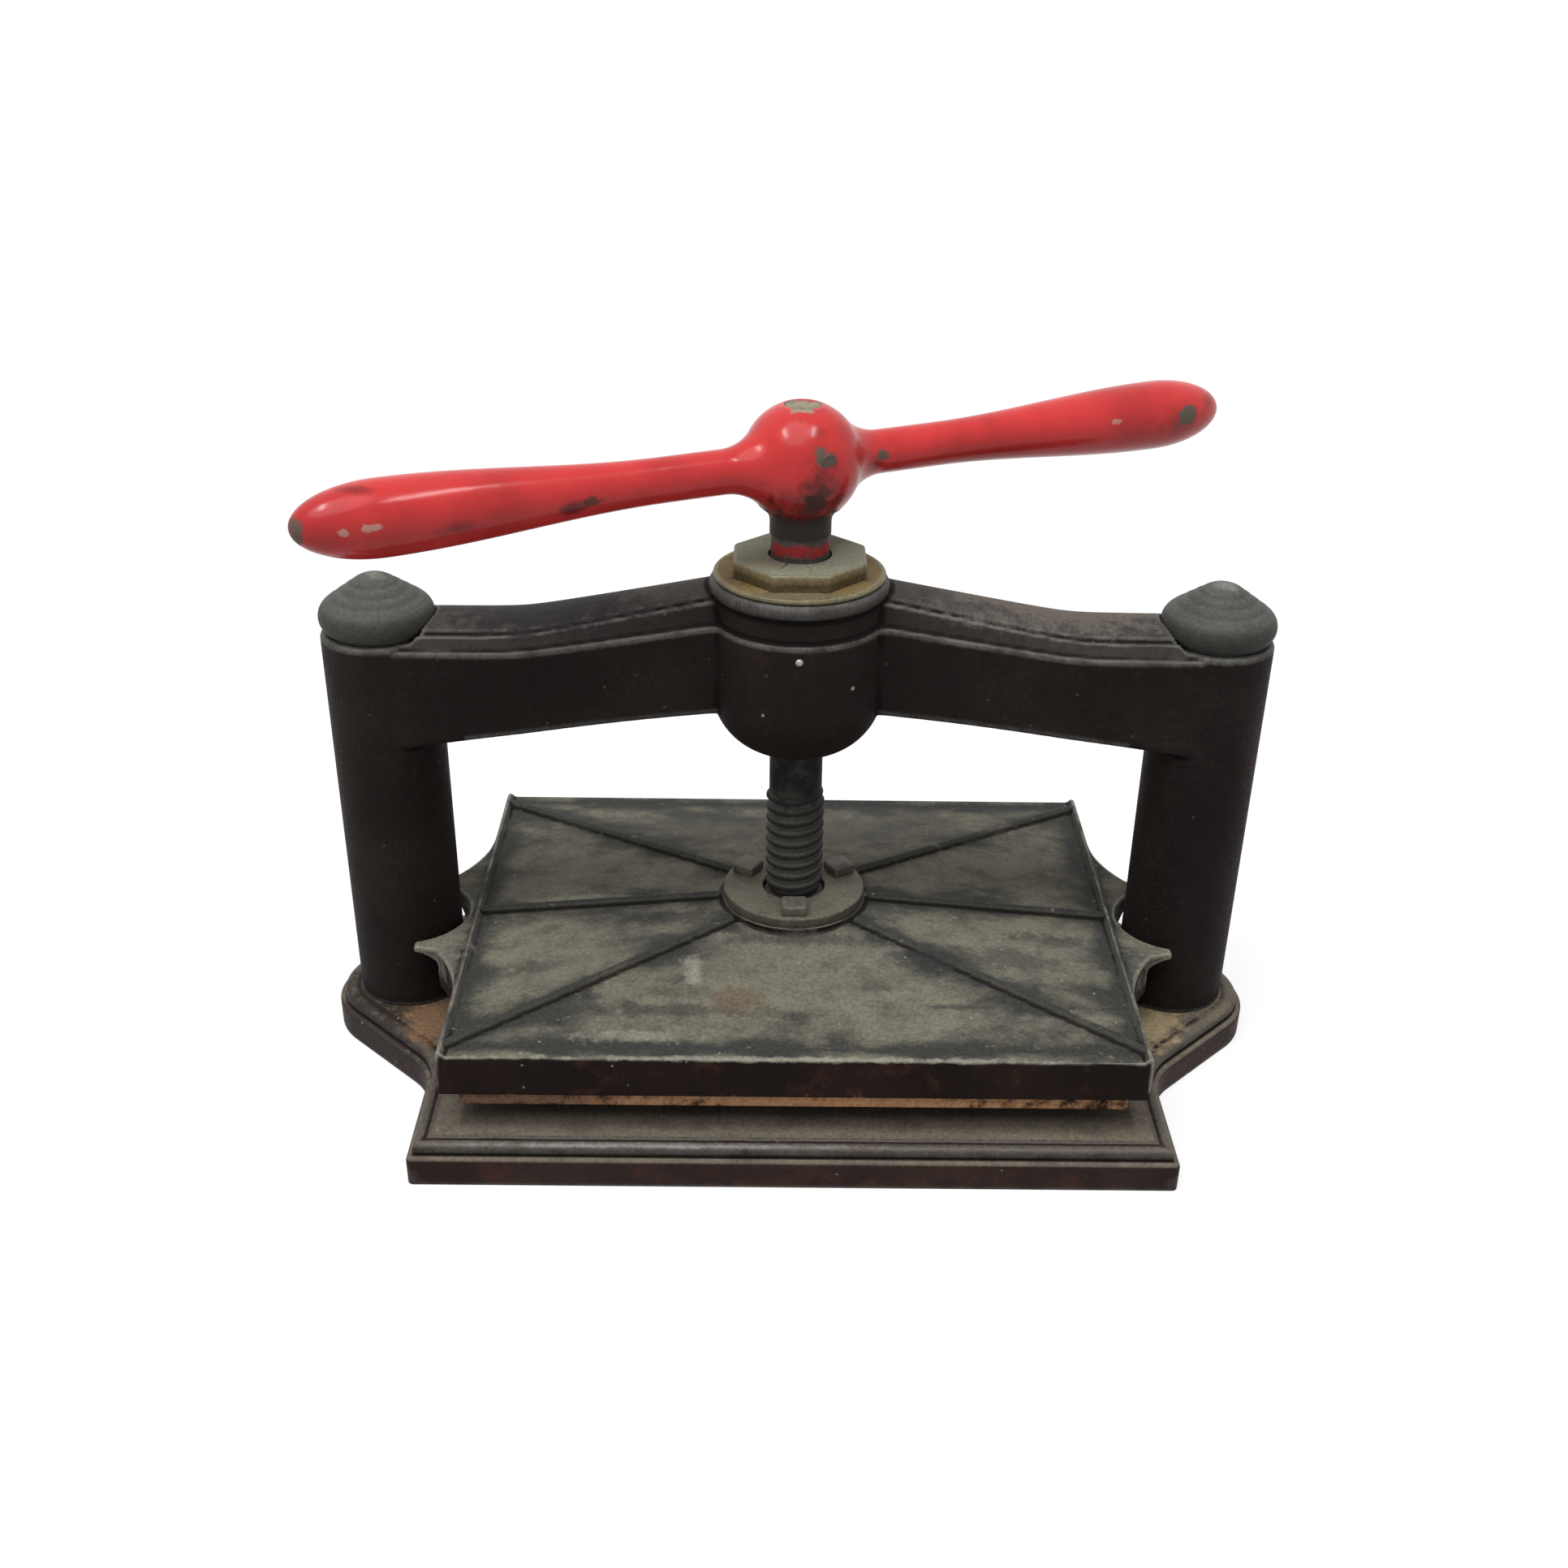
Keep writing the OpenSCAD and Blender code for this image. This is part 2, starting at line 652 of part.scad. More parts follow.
// One run of thread from z0 to z1, fading out over a turn at each end; its ends are rooted in plain shaft
thread_steps = 18;      // facets in one turn
thread_root_w = 0.30;   // shares of the lead, from the foot of the thread's groove upwards
thread_crest_start = 0.42;
thread_crest_stop = 0.88;
thread_sink = 1.15;     // leads of plain root at each end
module thread(z0, z1) {
    crest_r = screw_d / 2;
    root_r = crest_r - thread_depth;
    start = z0 - thread_sink * screw_lead;
    turns = ceil((z1 - z0) / screw_lead + 2 * thread_sink - 1);
    last = thread_steps * turns;
    function fade(z) = max(0, min(1, (z - z0) / screw_lead, (z1 - z) / screw_lead));
    function crest(z) = root_r + thread_depth * fade(z);
    crest_mid = (thread_crest_start + thread_crest_stop) / 2;
    function height(k, share) = start + screw_lead * (k / thread_steps + share);
    function spot(r, k, share) = let (a = 360 * k / thread_steps)
        [r * cos(a), r * sin(a), height(k, share)];
    function crest_at(k, share) = spot(crest(height(k, crest_mid)), k, share);
    // Four points across each lead: both sides of the groove, then both sides of the crest
    rows = [for (k = [0 : last]) each [
        spot(root_r, k, 0), spot(root_r, k, thread_root_w),
        crest_at(k, thread_crest_start), crest_at(k, thread_crest_stop)
    ]];
    rest = [for (k = [last + 1 : last + thread_steps]) spot(root_r, k, 0)];
    foot = [0, 0, start + screw_lead / 2];
    head = [0, 0, start + screw_lead * (turns + 1 / 2)];
    function at(k, j) = j == 4 ? at(k + thread_steps, 0)
        : k <= last ? 4 * k + j
        : 4 * (last + 1) + k - last - 1;
    skin = [
        for (k = [0 : last - 1]) for (j = [0 : 3])
            each [[at(k, j), at(k + 1, j + 1), at(k + 1, j)], [at(k, j), at(k, j + 1), at(k + 1, j + 1)]]
    ];
    foot_i = len(rows) + len(rest);
    function end_loop(k0) = concat(
        [for (k = [k0 : k0 + thread_steps]) at(k, 0)],
        [for (j = [3 : -1 : 1]) at(k0, j)]
    );
    foot_loop = end_loop(0);
    head_loop = end_loop(last);
    loop_n = len(foot_loop);
    ends = [
        for (i = [0 : loop_n - 1]) let (j = (i + 1) % loop_n)
            each [[foot_i, foot_loop[i], foot_loop[j]], [foot_i + 1, head_loop[j], head_loop[i]]]
    ];
    polyhedron(concat(rows, rest, [foot, head]), concat(skin, ends));
}

foot_run_z = seat_z + ring_t / 2;
neck_z = boss_z - screw_neck_l;
neck_in_boss = 6;
top_run_z = boss_z + neck_in_boss;
spigot_round = 1.5;
module lead_screw() {
    foot_r = screw_d / 2 + run_gap;
    spigot_r = spigot_d / 2;
    color(steel) difference() {
        union() {
            rotate_extrude() polygon([
                [0, nose_z], [nose_d / 2 - bevel, nose_z], [nose_d / 2, nose_z + bevel],
                [nose_d / 2, collar_z], [collar_d / 2, collar_z], [collar_d / 2, collar_top],
                [foot_r, collar_top], [foot_r, foot_run_z], [0, foot_run_z]
            ]);
            thread(foot_run_z, neck_z);
            translate([0, 0, neck_z]) cylinder(d = screw_neck_d, h = top_run_z - neck_z);
            thread(top_run_z, nut_top);
            translate([0, 0, nut_top]) cylinder(d = screw_ring_d, h = hub_foot_z - nut_top);
            rotate_extrude() polygon([
                [0, hub_foot_z - past], [spigot_r, hub_foot_z - past], [spigot_r, hub_top],
                [spigot_r - spigot_round, hub_top + spigot_round / 2], [0, hub_top + spigot_round / 2]
            ]);
        }
        handle_pin_hole();
    }
}

// Hub turned about the screw's axis: neck, hollow and ball, cut off at the top round the screw's end
hub_hollow_r = 8;
hub_rim = 1.5;          // wall left round the spigot at the top of the hub
hub_steps = 5;
hub_hollow_at = let (r = hub_neck_d / 2 + hub_hollow_r) [r, -sqrt(pow(hub_r + hub_hollow_r, 2) - r * r)];
hub_high = acos((spigot_d / 2 + hub_rim) / hub_r);
hub_top = handle_z + hub_r * sin(hub_high);
module hub() {
    low = heading([0, 0], hub_hollow_at);
    translate([0, 0, handle_z]) rotate_extrude() polygon(concat(
        [[0, -hub_drop], [hub_neck_d / 2, -hub_drop]],
        arc(hub_hollow_at, hub_hollow_r, hub_hollow_r, 180, 180 + low, hub_steps),
        arc([0, 0], hub_r, hub_r, low, hub_high, 3 * hub_steps),
        [[0, hub_top - handle_z]]
    ));
}

// Half of the bar turned about its own axis, as radius and distance from the screw: hollow out of the hub's
// ball, waist, swelling grip and round end
fillet_sink = 0.5;      // how deep the hollow starts inside the ball
fillet_at = let (r = arm_d / 2 + hub_fillet_r)
    [r, sqrt(pow(hub_r - fillet_sink + hub_fillet_r, 2) - r * r)];
grip_x = handle_l / 2 - grip_end_l;
arm_steps = 9;
tip_steps = 7;
function arm_radius(x) = let (share = (x - arm_waist_x) / (grip_x - arm_waist_x))
    arm_d / 2 + (grip_d - arm_d) / 4 * (1 - cos(180 * share));
module bar() {
    out = heading([0, 0], fillet_at);
    right = concat(
        arc(fillet_at, hub_fillet_r, hub_fillet_r, 180 + out, 180, hub_steps),
        [for (i = [0 : arm_steps - 1]) let (x = arm_waist_x + (grip_x - arm_waist_x) * i / arm_steps)
            [arm_radius(x), x]],
        arc([0, grip_x], grip_d / 2, grip_end_l, 0, 90, tip_steps)
    );
    last = len(right) - 1;
    left = [for (i = [0 : last]) [right[last - i][0], -right[last - i][1]]];
    rotate([0, 90, 0]) rotate_extrude() polygon(concat(left, right));
}

module handle() {
    color(enamel) difference() {
        union() {
            translate([0, 0, handle_z]) rotate([0, 0, handle_angle]) bar();
            hub();
        }
        translate([0, 0, hub_foot_z - past])
            cylinder(d = spigot_d + 2 * fit_gap, h = hub_top - hub_foot_z + 2 * past);
        handle_pin_hole();
    }
}

module at_handle_pin() {
    translate([0, 0, handle_z + handle_pin_lift]) rotate([0, 0, handle_angle]) rotate([90, 0, 0]) children();
}
module handle_pin_hole() {
    at_handle_pin() cylinder(d = handle_pin_d + 2 * fit_gap, h = hub_d + 2 * past, center = true);
}

handle_pin_proud = 0.5;
module handle_pin() {
    reach = sqrt(hub_r * hub_r - handle_pin_lift * handle_pin_lift) + handle_pin_proud;
    color(steel) at_handle_pin() cylinder(d = handle_pin_d, h = 2 * reach, center = true);
}

bed_casting();
arch_casting();
tie_rod(-1);  // left_tie_rod
tie_rod(1);  // right_tie_rod
finial_nut(-1);  // left_finial_nut
finial_nut(1);  // right_finial_nut
tie_washer(-1);  // left_tie_washer
tie_washer(1);  // right_tie_washer
tie_nut(-1);  // left_tie_nut
tie_nut(1);  // right_tie_nut
bronze_nut();
nut_locking_pin();
platen_casting();
thrust_pad();
keeper_ring();
keeper_bolt(bolt_turns[0]);  // keeper_bolt_front
keeper_bolt(bolt_turns[1]);  // keeper_bolt_right
keeper_bolt(bolt_turns[2]);  // keeper_bolt_left
lead_screw();
handle();
handle_pin();
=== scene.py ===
import math

import bmesh
import bpy
import numpy as np
from mathutils import Matrix, Vector


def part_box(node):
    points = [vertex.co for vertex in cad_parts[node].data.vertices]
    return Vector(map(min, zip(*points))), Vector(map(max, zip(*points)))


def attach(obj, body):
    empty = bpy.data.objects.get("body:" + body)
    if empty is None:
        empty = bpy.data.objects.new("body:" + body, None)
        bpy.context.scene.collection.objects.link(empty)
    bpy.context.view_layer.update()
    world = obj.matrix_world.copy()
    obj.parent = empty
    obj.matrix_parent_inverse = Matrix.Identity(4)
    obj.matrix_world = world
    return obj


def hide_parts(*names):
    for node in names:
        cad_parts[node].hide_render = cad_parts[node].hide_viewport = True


# Frame
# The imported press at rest, in metres: +X runs from column to column, +Y away from the user and +Z up.
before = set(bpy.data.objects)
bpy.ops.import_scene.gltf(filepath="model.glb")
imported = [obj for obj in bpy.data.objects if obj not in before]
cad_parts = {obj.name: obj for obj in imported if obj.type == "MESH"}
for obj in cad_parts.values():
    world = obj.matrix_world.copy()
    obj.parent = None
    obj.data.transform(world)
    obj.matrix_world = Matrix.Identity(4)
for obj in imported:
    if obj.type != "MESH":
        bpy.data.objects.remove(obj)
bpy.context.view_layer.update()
mm = 0.001

# Camera
# It stands in front of the press, a little left of the screw, and looks down over the handle at the platen.
eye = Vector((-15.95, -925.16, 626.47)) * mm
yaw = math.radians(0.636)
pitch = math.radians(30.27)
roll = math.radians(0.905)
forward = Vector((math.sin(yaw) * math.cos(pitch), math.cos(yaw) * math.cos(pitch), -math.sin(pitch)))
right = Vector((math.cos(yaw), -math.sin(yaw), 0))
turn = Matrix((right, right.cross(forward), -forward)).transposed() @ Matrix.Rotation(roll, 3, "Z")
camera = bpy.data.objects.new("camera", bpy.data.cameras.new("camera"))
camera.matrix_world = Matrix.Translation(eye) @ turn.to_4x4()
camera.data.sensor_width = 36
camera.data.lens = 41.34
camera.data.shift_y = 0.0694
camera.data.clip_start = 0.01
camera.data.clip_end = 100
bpy.context.scene.collection.objects.link(camera)
bpy.context.scene.camera = camera

# Bed
# One iron casting, hollow underneath: a plain band, a rounded lip and a bead run round it and its two ears.
# It was painted black. Dust lies on the ledge, the band is rusty and hands have rubbed the bead to bare iron.
# A painted highlight runs along the front of the bead, and painted shade darkens the left ear's moulding.
bed_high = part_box("bed_casting")[1]
rod_low, rod_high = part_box("right_tie_rod")
washer_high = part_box("right_tie_washer")[1]
col_x = (rod_low.x + rod_high.x) / 2
rod_r = (rod_high.x - rod_low.x) / 2
fit_gap = 0.2 * mm
bed_l = 415 * mm
ear_r = bed_high.x - col_x
ear_hollow_r = 40 * mm
ear_swell = 1.35
corner_r = 3 * mm
band_h = 15 * mm
lip_w = 3.4 * mm
lip_h = 2.2 * mm
bead_r = 3.7 * mm
bead_stop = 130
quirk_w = 1 * mm
foot_r = 0.8 * mm
bed_wall_t = 16 * mm
bed_rib_t = 12 * mm
bed_plate_t = 11 * mm
past = 1 * mm
anywhere = 1.0


def arc(centre, rx, ry, start, stop, steps):
    """Points on a circular or elliptical arc in a plane, with angles in degrees."""
    angles = np.radians(np.linspace(start, stop, steps + 1))
    return np.column_stack((centre[0] + rx * np.cos(angles), centre[1] + ry * np.sin(angles)))


def between(a, b, steps):
    """Points that part the line from a to b into steps, without its two ends."""
    return a + np.outer(np.arange(1, steps) / steps, b - a)


def bed_outline(inset):
    """Plan of the bed and its ears from one corner all round, drawn in by inset, and more round the ears."""
    side = bed_l / 2 - inset
    end = bed_high.y - inset
    ear = ear_r - inset - (ear_swell - 1) * max(inset - lip_w, 0)
    hollow = ear_hollow_r + inset
    hollow_x = side + hollow
    hollow_y = (ear + hollow) * math.sqrt(2) - (hollow_x - col_x)
    corner = max(corner_r - inset, corner_r / 5)
    runs = [
        arc((side - corner, corner - end), corner, corner, -90, 0, 6),
        arc((hollow_x, -hollow_y), hollow, hollow, 180, 135, 12),
        arc((col_x, 0), ear, ear, -45, 45, 36),
        arc((hollow_x, hollow_y), hollow, hollow, 225, 180, 12),
        arc((side - corner, end - corner), corner, corner, 0, 90, 6),
    ]
    half = [runs[0]]
    for before, after, steps in zip(runs, runs[1:], (18, 6, 6, 18)):
        half += [between(before[-1], after[0], steps), after]
    half.append(between(runs[-1][-1], -runs[0][0], 90))
    half = np.concatenate(half)
    return np.concatenate((half, -half))


def piece(name, vertices, faces):
    """A mesh object with its place in its vertices, its doubles merged and its faces turned outwards."""
    mesh = bpy.data.meshes.new(name)
    mesh.from_pydata([tuple(v) for v in vertices], [], faces)
    shape = bmesh.new()
    shape.from_mesh(mesh)
    bmesh.ops.remove_doubles(shape, verts=shape.verts, dist=1e-6)
    bmesh.ops.recalc_face_normals(shape, faces=shape.faces)
    shape.to_mesh(mesh)
    shape.free()
    made = bpy.data.objects.new(name, mesh)
    bpy.context.scene.collection.objects.link(made)
    return made


def loft(name, rings, endless=False):
    """A skin over rings of equal count; its ends are closed, or run into each other where it is endless."""
    count = len(rings[0])
    total = len(rings) * count
    faces = []
    if not endless:
        faces = [tuple(range(count))[::-1], tuple(range(total - count, total))]
    for k in range(0, total if endless else total - count, count):
        for i in range(count):
            j = (i + 1) % count
            above = (k + count) % total
            faces.append((k + i, k + j, above + j, above + i))
    return piece(name, np.concatenate(rings), faces)


def level(plan, height):
    """A flat outline set at a height."""
    return np.column_stack((plan, np.full(len(plan), height)))


def revolve(name, profile, x=0.0, count=96):
    """A solid turned about an upright axis, from a profile of radius and height. A profile that starts and
    ends on the axis makes a full solid, and any other makes a ring."""
    rings = []
    for radius, height in profile:
        plan = arc((x, 0), radius, radius, 0, 360 - 360 / count, count - 1)
        rings.append(level(plan, height))
    return loft(name, rings, endless=profile[0][0] > 0)


def cylinder(name, radius, low, high, x=0.0, count=96):
    """A plain upright rod, or what cuts a plain round hole, between two heights."""
    return revolve(name, ((0, low), (radius, low), (radius, high), (0, high)), x, count)


def block(name, low, high):
    """A box between two corners."""
    plan = np.array(((low[0], low[1]), (high[0], low[1]), (high[0], high[1]), (low[0], high[1])))
    return loft(name, [level(plan, low[2]), level(plan, high[2])])


def join(first, *others):
    """The others' meshes become part of the first."""
    shape = bmesh.new()
    for part in (first, *others):
        shape.from_mesh(part.data)
    shape.to_mesh(first.data)
    shape.free()
    for part in others:
        bpy.data.objects.remove(part)
    return first


def settle(made, sharp=40):
    """Turns a piece's modifiers into a plain mesh that is smooth up to the sharp angle."""
    scene_now = bpy.context.evaluated_depsgraph_get()
    mesh = bpy.data.meshes.new_from_object(made.evaluated_get(scene_now))
    made.modifiers.clear()
    made.data = mesh
    mesh.shade_smooth()
    mesh.set_sharp_from_angle(angle=math.radians(sharp))
    return made


def combine(made, other, operation):
    """Cuts the other out of a piece (DIFFERENCE) or fuses it to the piece (UNION)."""
    modifier = made.modifiers.new("combine", "BOOLEAN")
    modifier.operation = operation
    modifier.solver = "EXACT"
    modifier.object = other
    settle(made)
    bpy.data.objects.remove(other)
    return made


def places(mesh):
    """A mesh's points, one row for each."""
    flat = np.empty(len(mesh.vertices) * 3)
    mesh.vertices.foreach_get("co", flat)
    return flat.reshape(-1, 3)


def rub(made, tight_r, spread):
    """Writes where a piece's edges stick out (wear) and where its corners go in (grime_and_shade: soiling and
    painted shade), from 0 to 1.
    An edge rounded to tight_r or tighter counts in full; spread is how many times it is smeared."""
    mesh = made.data
    count = len(mesh.vertices)
    place = places(mesh)
    normal = np.empty(count * 3)
    mesh.vertex_normals.foreach_get("vector", normal)
    normal = normal.reshape(-1, 3)
    pairs = np.empty(len(mesh.edges) * 2, int)
    mesh.edges.foreach_get("vertices", pairs)
    a, b = pairs.reshape(-1, 2).T
    gap = place[b] - place[a]
    bend = np.einsum("ij,ij->i", normal[b] - normal[a], gap) / np.maximum((gap ** 2).sum(1), 1e-12)
    meeting = np.maximum(np.bincount(a, minlength=count) + np.bincount(b, minlength=count), 1)
    for label, sign in (("wear", 1), ("grime_and_shade", -1)):
        value = np.zeros(count)
        np.maximum.at(value, a, sign * bend * tight_r)
        np.maximum.at(value, b, sign * bend * tight_r)
        value = np.clip(value, 0, 1)
        for _ in range(spread):
            around = np.bincount(a, value[b], count) + np.bincount(b, value[a], count)
            value = (value + around / meeting) / 2
        layer = mesh.attributes.new(label, "FLOAT", "POINT")
        layer.data.foreach_set("value", value)
    return made


def spare(made, middle, reach):
    """Takes the wear away again inside a box round the middle."""
    inside = (np.abs(places(made.data) - middle) < reach).all(axis=1)
    layer = made.data.attributes["wear"]
    wear = np.empty(len(inside))
    layer.data.foreach_get("value", wear)
    layer.data.foreach_set("value", np.where(inside, 0, wear))


def add(tree, kind, settings=None, **sockets):
    """A new node. A socket goes by its name or its number, and its value is a constant or an output."""
    made = tree.nodes.new(kind)
    for key, value in (settings or {}).items():
        setattr(made, key, value)
    for key, value in sockets.items():
        socket = made.inputs[int(key[1:])] if key[1:].isdigit() else made.inputs[key.replace("_", " ")]
        if isinstance(value, bpy.types.NodeSocket):
            tree.links.new(value, socket)
        else:
            socket.default_value = value
    return made


def node(tree, kind, settings=None, **sockets):
    """A new node of the kinds that shader and geometry trees share."""
    return add(tree, "ShaderNode" + kind, settings, **sockets)


def sums(tree, operation, a, b=0.0):
    """One step of arithmetic, on a value or between two."""
    return node(tree, "Math", {"operation": operation}, s0=a, s1=b).outputs[0]


def ramp(tree, value, low, high, out_low=0.0, out_high=1.0):
    """A soft step from out_low to out_high as the value goes from low to high."""
    settings = {"interpolation_type": "SMOOTHSTEP", "clamp": True}
    return node(tree, "MapRange", settings, s0=value, s1=low, s2=high, s3=out_low, s4=out_high).outputs[0]


def tint(tree, share, under, over):
    """A layer of colour over another, as thick as share."""
    return node(tree, "Mix", {"data_type": "RGBA"}, s0=share, s6=under, s7=over).outputs[2]


def cloud(tree, where, size, detail=4.0, rough=0.55):
    """Soft random values with features of that size in metres."""
    noise = node(tree, "TexNoise", None, Vector=where, Scale=1 / size, Detail=detail, Roughness=rough)
    return noise.outputs[0]


def marked(tree, where, colour, marks, ragged, soft):
    """Colour with marks on it: stains, chip marks, painted shade and painted highlights. Each mark is a
    middle and a reach in millimetres, a colour and a strength; ragged and soft say how its rim looks. Returns
    the new colour and how much of it is marks."""
    torn = sums(tree, "MULTIPLY", sums(tree, "SUBTRACT", cloud(tree, where, 9 * mm, 7.0, 0.68), 0.5), ragged)
    covered = 0.0
    for middle, reach, over, strength in marks:
        away = node(tree, "VectorMath", {"operation": "SUBTRACT"}, s0=where, s1=Vector(middle) * mm)
        share = Vector(1 / (length * mm) for length in reach)
        scaled = node(tree, "VectorMath", {"operation": "MULTIPLY"}, s0=away.outputs[0], s1=share)
        far = node(tree, "VectorMath", {"operation": "LENGTH"}, s0=scaled.outputs[0]).outputs["Value"]
        mask = ramp(tree, sums(tree, "ADD", far, torn), 1.0, 1.0 - soft, 0.0, strength)
        colour = tint(tree, mask, colour, (*over, 1))
        covered = sums(tree, "MAXIMUM", covered, mask)
    return colour, covered


def finish(name):
    """A new material. Returns it with its tree, its shader and the place that its patterns follow."""
    material = bpy.data.materials.new(name)
    material.use_nodes = True
    tree = material.node_tree
    return material, tree, tree.nodes["Principled BSDF"], node(tree, "TexCoord").outputs["Object"]


def lay_on(tree, shader, **layers):
    """Links a finish's layers to its shader."""
    for label, layer in layers.items():
        tree.links.new(layer, shader.inputs[label.replace("_", " ")])


def weathered(name, paint, worn_paint, dust, rust, bare, dusting=0.8, rusting=0.1, rubbed=0.8, marks=(),
              stain_and_shade=None, flakes=0.0, cast=1.0, shine=0.1, rust_from=0.0, rust_to=1.0, dust_from=-1.0):
    """Old painted or bare iron. Its colours are those of sound and of worn paint, of dust on upward faces, of
    rust and of rubbed bare metal; dusting, rusting and rubbed say how much of each shows. The stain_and_shade
    colour follows the piece's own stain_and_shade attribute as stains and painted shade, and flakes are pale
    specks. Rust thins out from the height rust_from up to rust_to and dust lies above dust_from; cast is the
    roughness of the casting and shine its gloss."""
    dust_fade = 2 * mm
    crease_dirt_and_shade_share = 0.35
    stain_stretch = (0.62, 1, 1)
    flake_gap = 8 * mm
    flake_colour = (0.36, 0.34, 0.30)
    grain_d = 0.6 * mm
    material, tree, shader, where = finish(name)
    up = node(tree, "SeparateXYZ", None, Vector=node(tree, "NewGeometry").outputs["Normal"]).outputs["Z"]
    height = node(tree, "SeparateXYZ", None, Vector=where).outputs["Z"]
    wear = node(tree, "Attribute", {"attribute_name": "wear"}).outputs["Fac"]
    grime_and_shade = node(tree, "Attribute", {"attribute_name": "grime_and_shade"}).outputs["Fac"]
    broad = cloud(tree, where, size=55 * mm, detail=5.0, rough=0.6)
    patchy = cloud(tree, where, size=16 * mm, detail=5.0, rough=0.62)
    fine = cloud(tree, where, size=2.2 * mm, detail=4.0, rough=0.6)

    colour = tint(tree, ramp(tree, broad, 0.38, 0.66), (*paint, 1), (*worn_paint, 1))
    rust_patch = ramp(tree, patchy, 0.62 - 0.25 * rusting, 0.72, 0.0, min(1.0, 2 * rusting))
    rust_patch = sums(tree, "MULTIPLY", rust_patch, ramp(tree, height, rust_to, rust_from))
    colour = tint(tree, rust_patch, colour, (*rust, 1))
    lying = sums(tree, "MULTIPLY", ramp(tree, up, 0.3, 0.95), ramp(tree, patchy, 0.2, 0.62, 0.55, 1.0))
    lying = sums(tree, "MULTIPLY", lying, ramp(tree, height, dust_from, dust_from + dust_fade, 0.0, dusting))
    colour = tint(tree, lying, colour, (*dust, 1))
    # Darker along the stain_and_shade attribute's lines and in cloudy blotches: stains, and painted shade
    # along the platen's ribs and rims.
    if stain_and_shade:
        drawn = node(tree, "Attribute", {"attribute_name": "stain_and_shade"}).outputs["Fac"]
        washed = node(tree, "VectorMath", {"operation": "MULTIPLY"}, s0=where, s1=stain_stretch).outputs[0]
        torn = sums(tree, "ADD", cloud(tree, washed, 34 * mm, 6.0, 0.62), sums(tree, "MULTIPLY", drawn, 0.3))
        flat = ramp(tree, up, 0.3, 0.9)
        drawn = sums(tree, "MULTIPLY", ramp(tree, torn, 0.46, 0.74, 0.0, 0.95), flat)
        colour = tint(tree, drawn, colour, (*stain_and_shade, 1))
        specks = ramp(tree, cloud(tree, washed, 5 * mm, 6.0, 0.7), 0.60, 0.70, 0.0, 0.5)
        colour = tint(tree, sums(tree, "MULTIPLY", specks, flat), colour, (*bare, 1))
    # Inward creases are darkened: soiling and painted shade.
    crease_dirt_and_shade = tuple(crease_dirt_and_shade_share * channel for channel in paint)
    colour = tint(tree, ramp(tree, grime_and_shade, 0.1, 0.6, 0.0, 0.85), colour, (*crease_dirt_and_shade, 1))
    bright = sums(tree, "MULTIPLY", ramp(tree, wear, 0.15, 0.75), ramp(tree, patchy, 0.3, 0.55, 0.35, 1.0))
    bright = sums(tree, "MULTIPLY", bright, rubbed)
    colour = tint(tree, bright, colour, (*bare, 1))
    colour = marked(tree, where, colour, marks, ragged=2.4, soft=0.65)[0]
    cells = node(tree, "TexVoronoi", None, Vector=where, Scale=1 / flake_gap).outputs
    picked = ramp(tree, node(tree, "SeparateColor", None, Color=cells["Color"]).outputs[0], 0.80, 0.84)
    flake = sums(tree, "MULTIPLY", picked, ramp(tree, cells["Distance"], 0.13, 0.06, 0.0, flakes))
    colour = tint(tree, flake, colour, (*flake_colour, 1))
    speckle = ramp(tree, fine, 0.25, 0.75, 0.75, 1.25)
    colour = node(tree, "VectorMath", {"operation": "SCALE"}, s0=colour, Scale=speckle).outputs[0]

    metal = sums(tree, "MULTIPLY", bright, 0.45)
    dull = ramp(tree, fine, 0.3, 0.7, 0.5, 0.72)
    dull = sums(tree, "SUBTRACT", dull, sums(tree, "MULTIPLY", bright, 0.12))
    shader.inputs["Specular IOR Level"].default_value = shine
    grain = sums(tree, "ADD", sums(tree, "MULTIPLY", cloud(tree, where, 5 * mm), 1.6), fine)
    bump = node(tree, "Bump", None, Height=grain, Strength=0.35 * cast, Distance=grain_d).outputs[0]
    lay_on(tree, shader, Base_Color=colour, Metallic=metal, Roughness=dull, Normal=bump)
    return material


def dress(made, material, body, slot, *nodes):
    """Gives a piece its material and its body, and lets it stand for its CAD nodes; the slot, its finish, is
    not used.
    """
    made.data.materials.clear()
    made.data.materials.append(material)
    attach(made, body)
    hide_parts(*nodes)


ledge_inset = lip_w + bead_r * (1 - math.cos(math.radians(bead_stop))) + quirk_w
moulding = np.concatenate((
    arc((foot_r, foot_r), -foot_r, -foot_r, 90, 0, 4),
    [(0, 0.15 * band_h), (0, 0.5 * band_h), (0, 0.85 * band_h)],
    arc((lip_w, band_h), -lip_w, lip_h, 0, 90, 8),
    arc((lip_w + bead_r, bed_high.z - bead_r), -bead_r, bead_r, -55, bead_stop, 18),
    arc((ledge_inset + foot_r, bed_high.z - foot_r), -foot_r, foot_r, 0, 90, 3),
    [(ledge_inset + 4 * foot_r, bed_high.z), (ledge_inset + 10 * foot_r, bed_high.z)],
))
bed = loft("bed", [level(bed_outline(inset), height) for inset, height in moulding])
hollow_l = bed_l / 2 - bed_wall_t
hollow_d = bed_high.y - bed_wall_t
hollow_h = bed_high.z - bed_plate_t
washer_hole_r = washer_high.x - col_x + 2 * fit_gap
rod_bore_r = rod_r + fit_gap
rod_hole = np.array((
    (0, -past), (washer_hole_r, -past), (washer_hole_r, washer_high.z), (rod_bore_r, washer_high.z),
    (rod_bore_r, bed_high.z + past), (0, bed_high.z + past),
))
cores = []
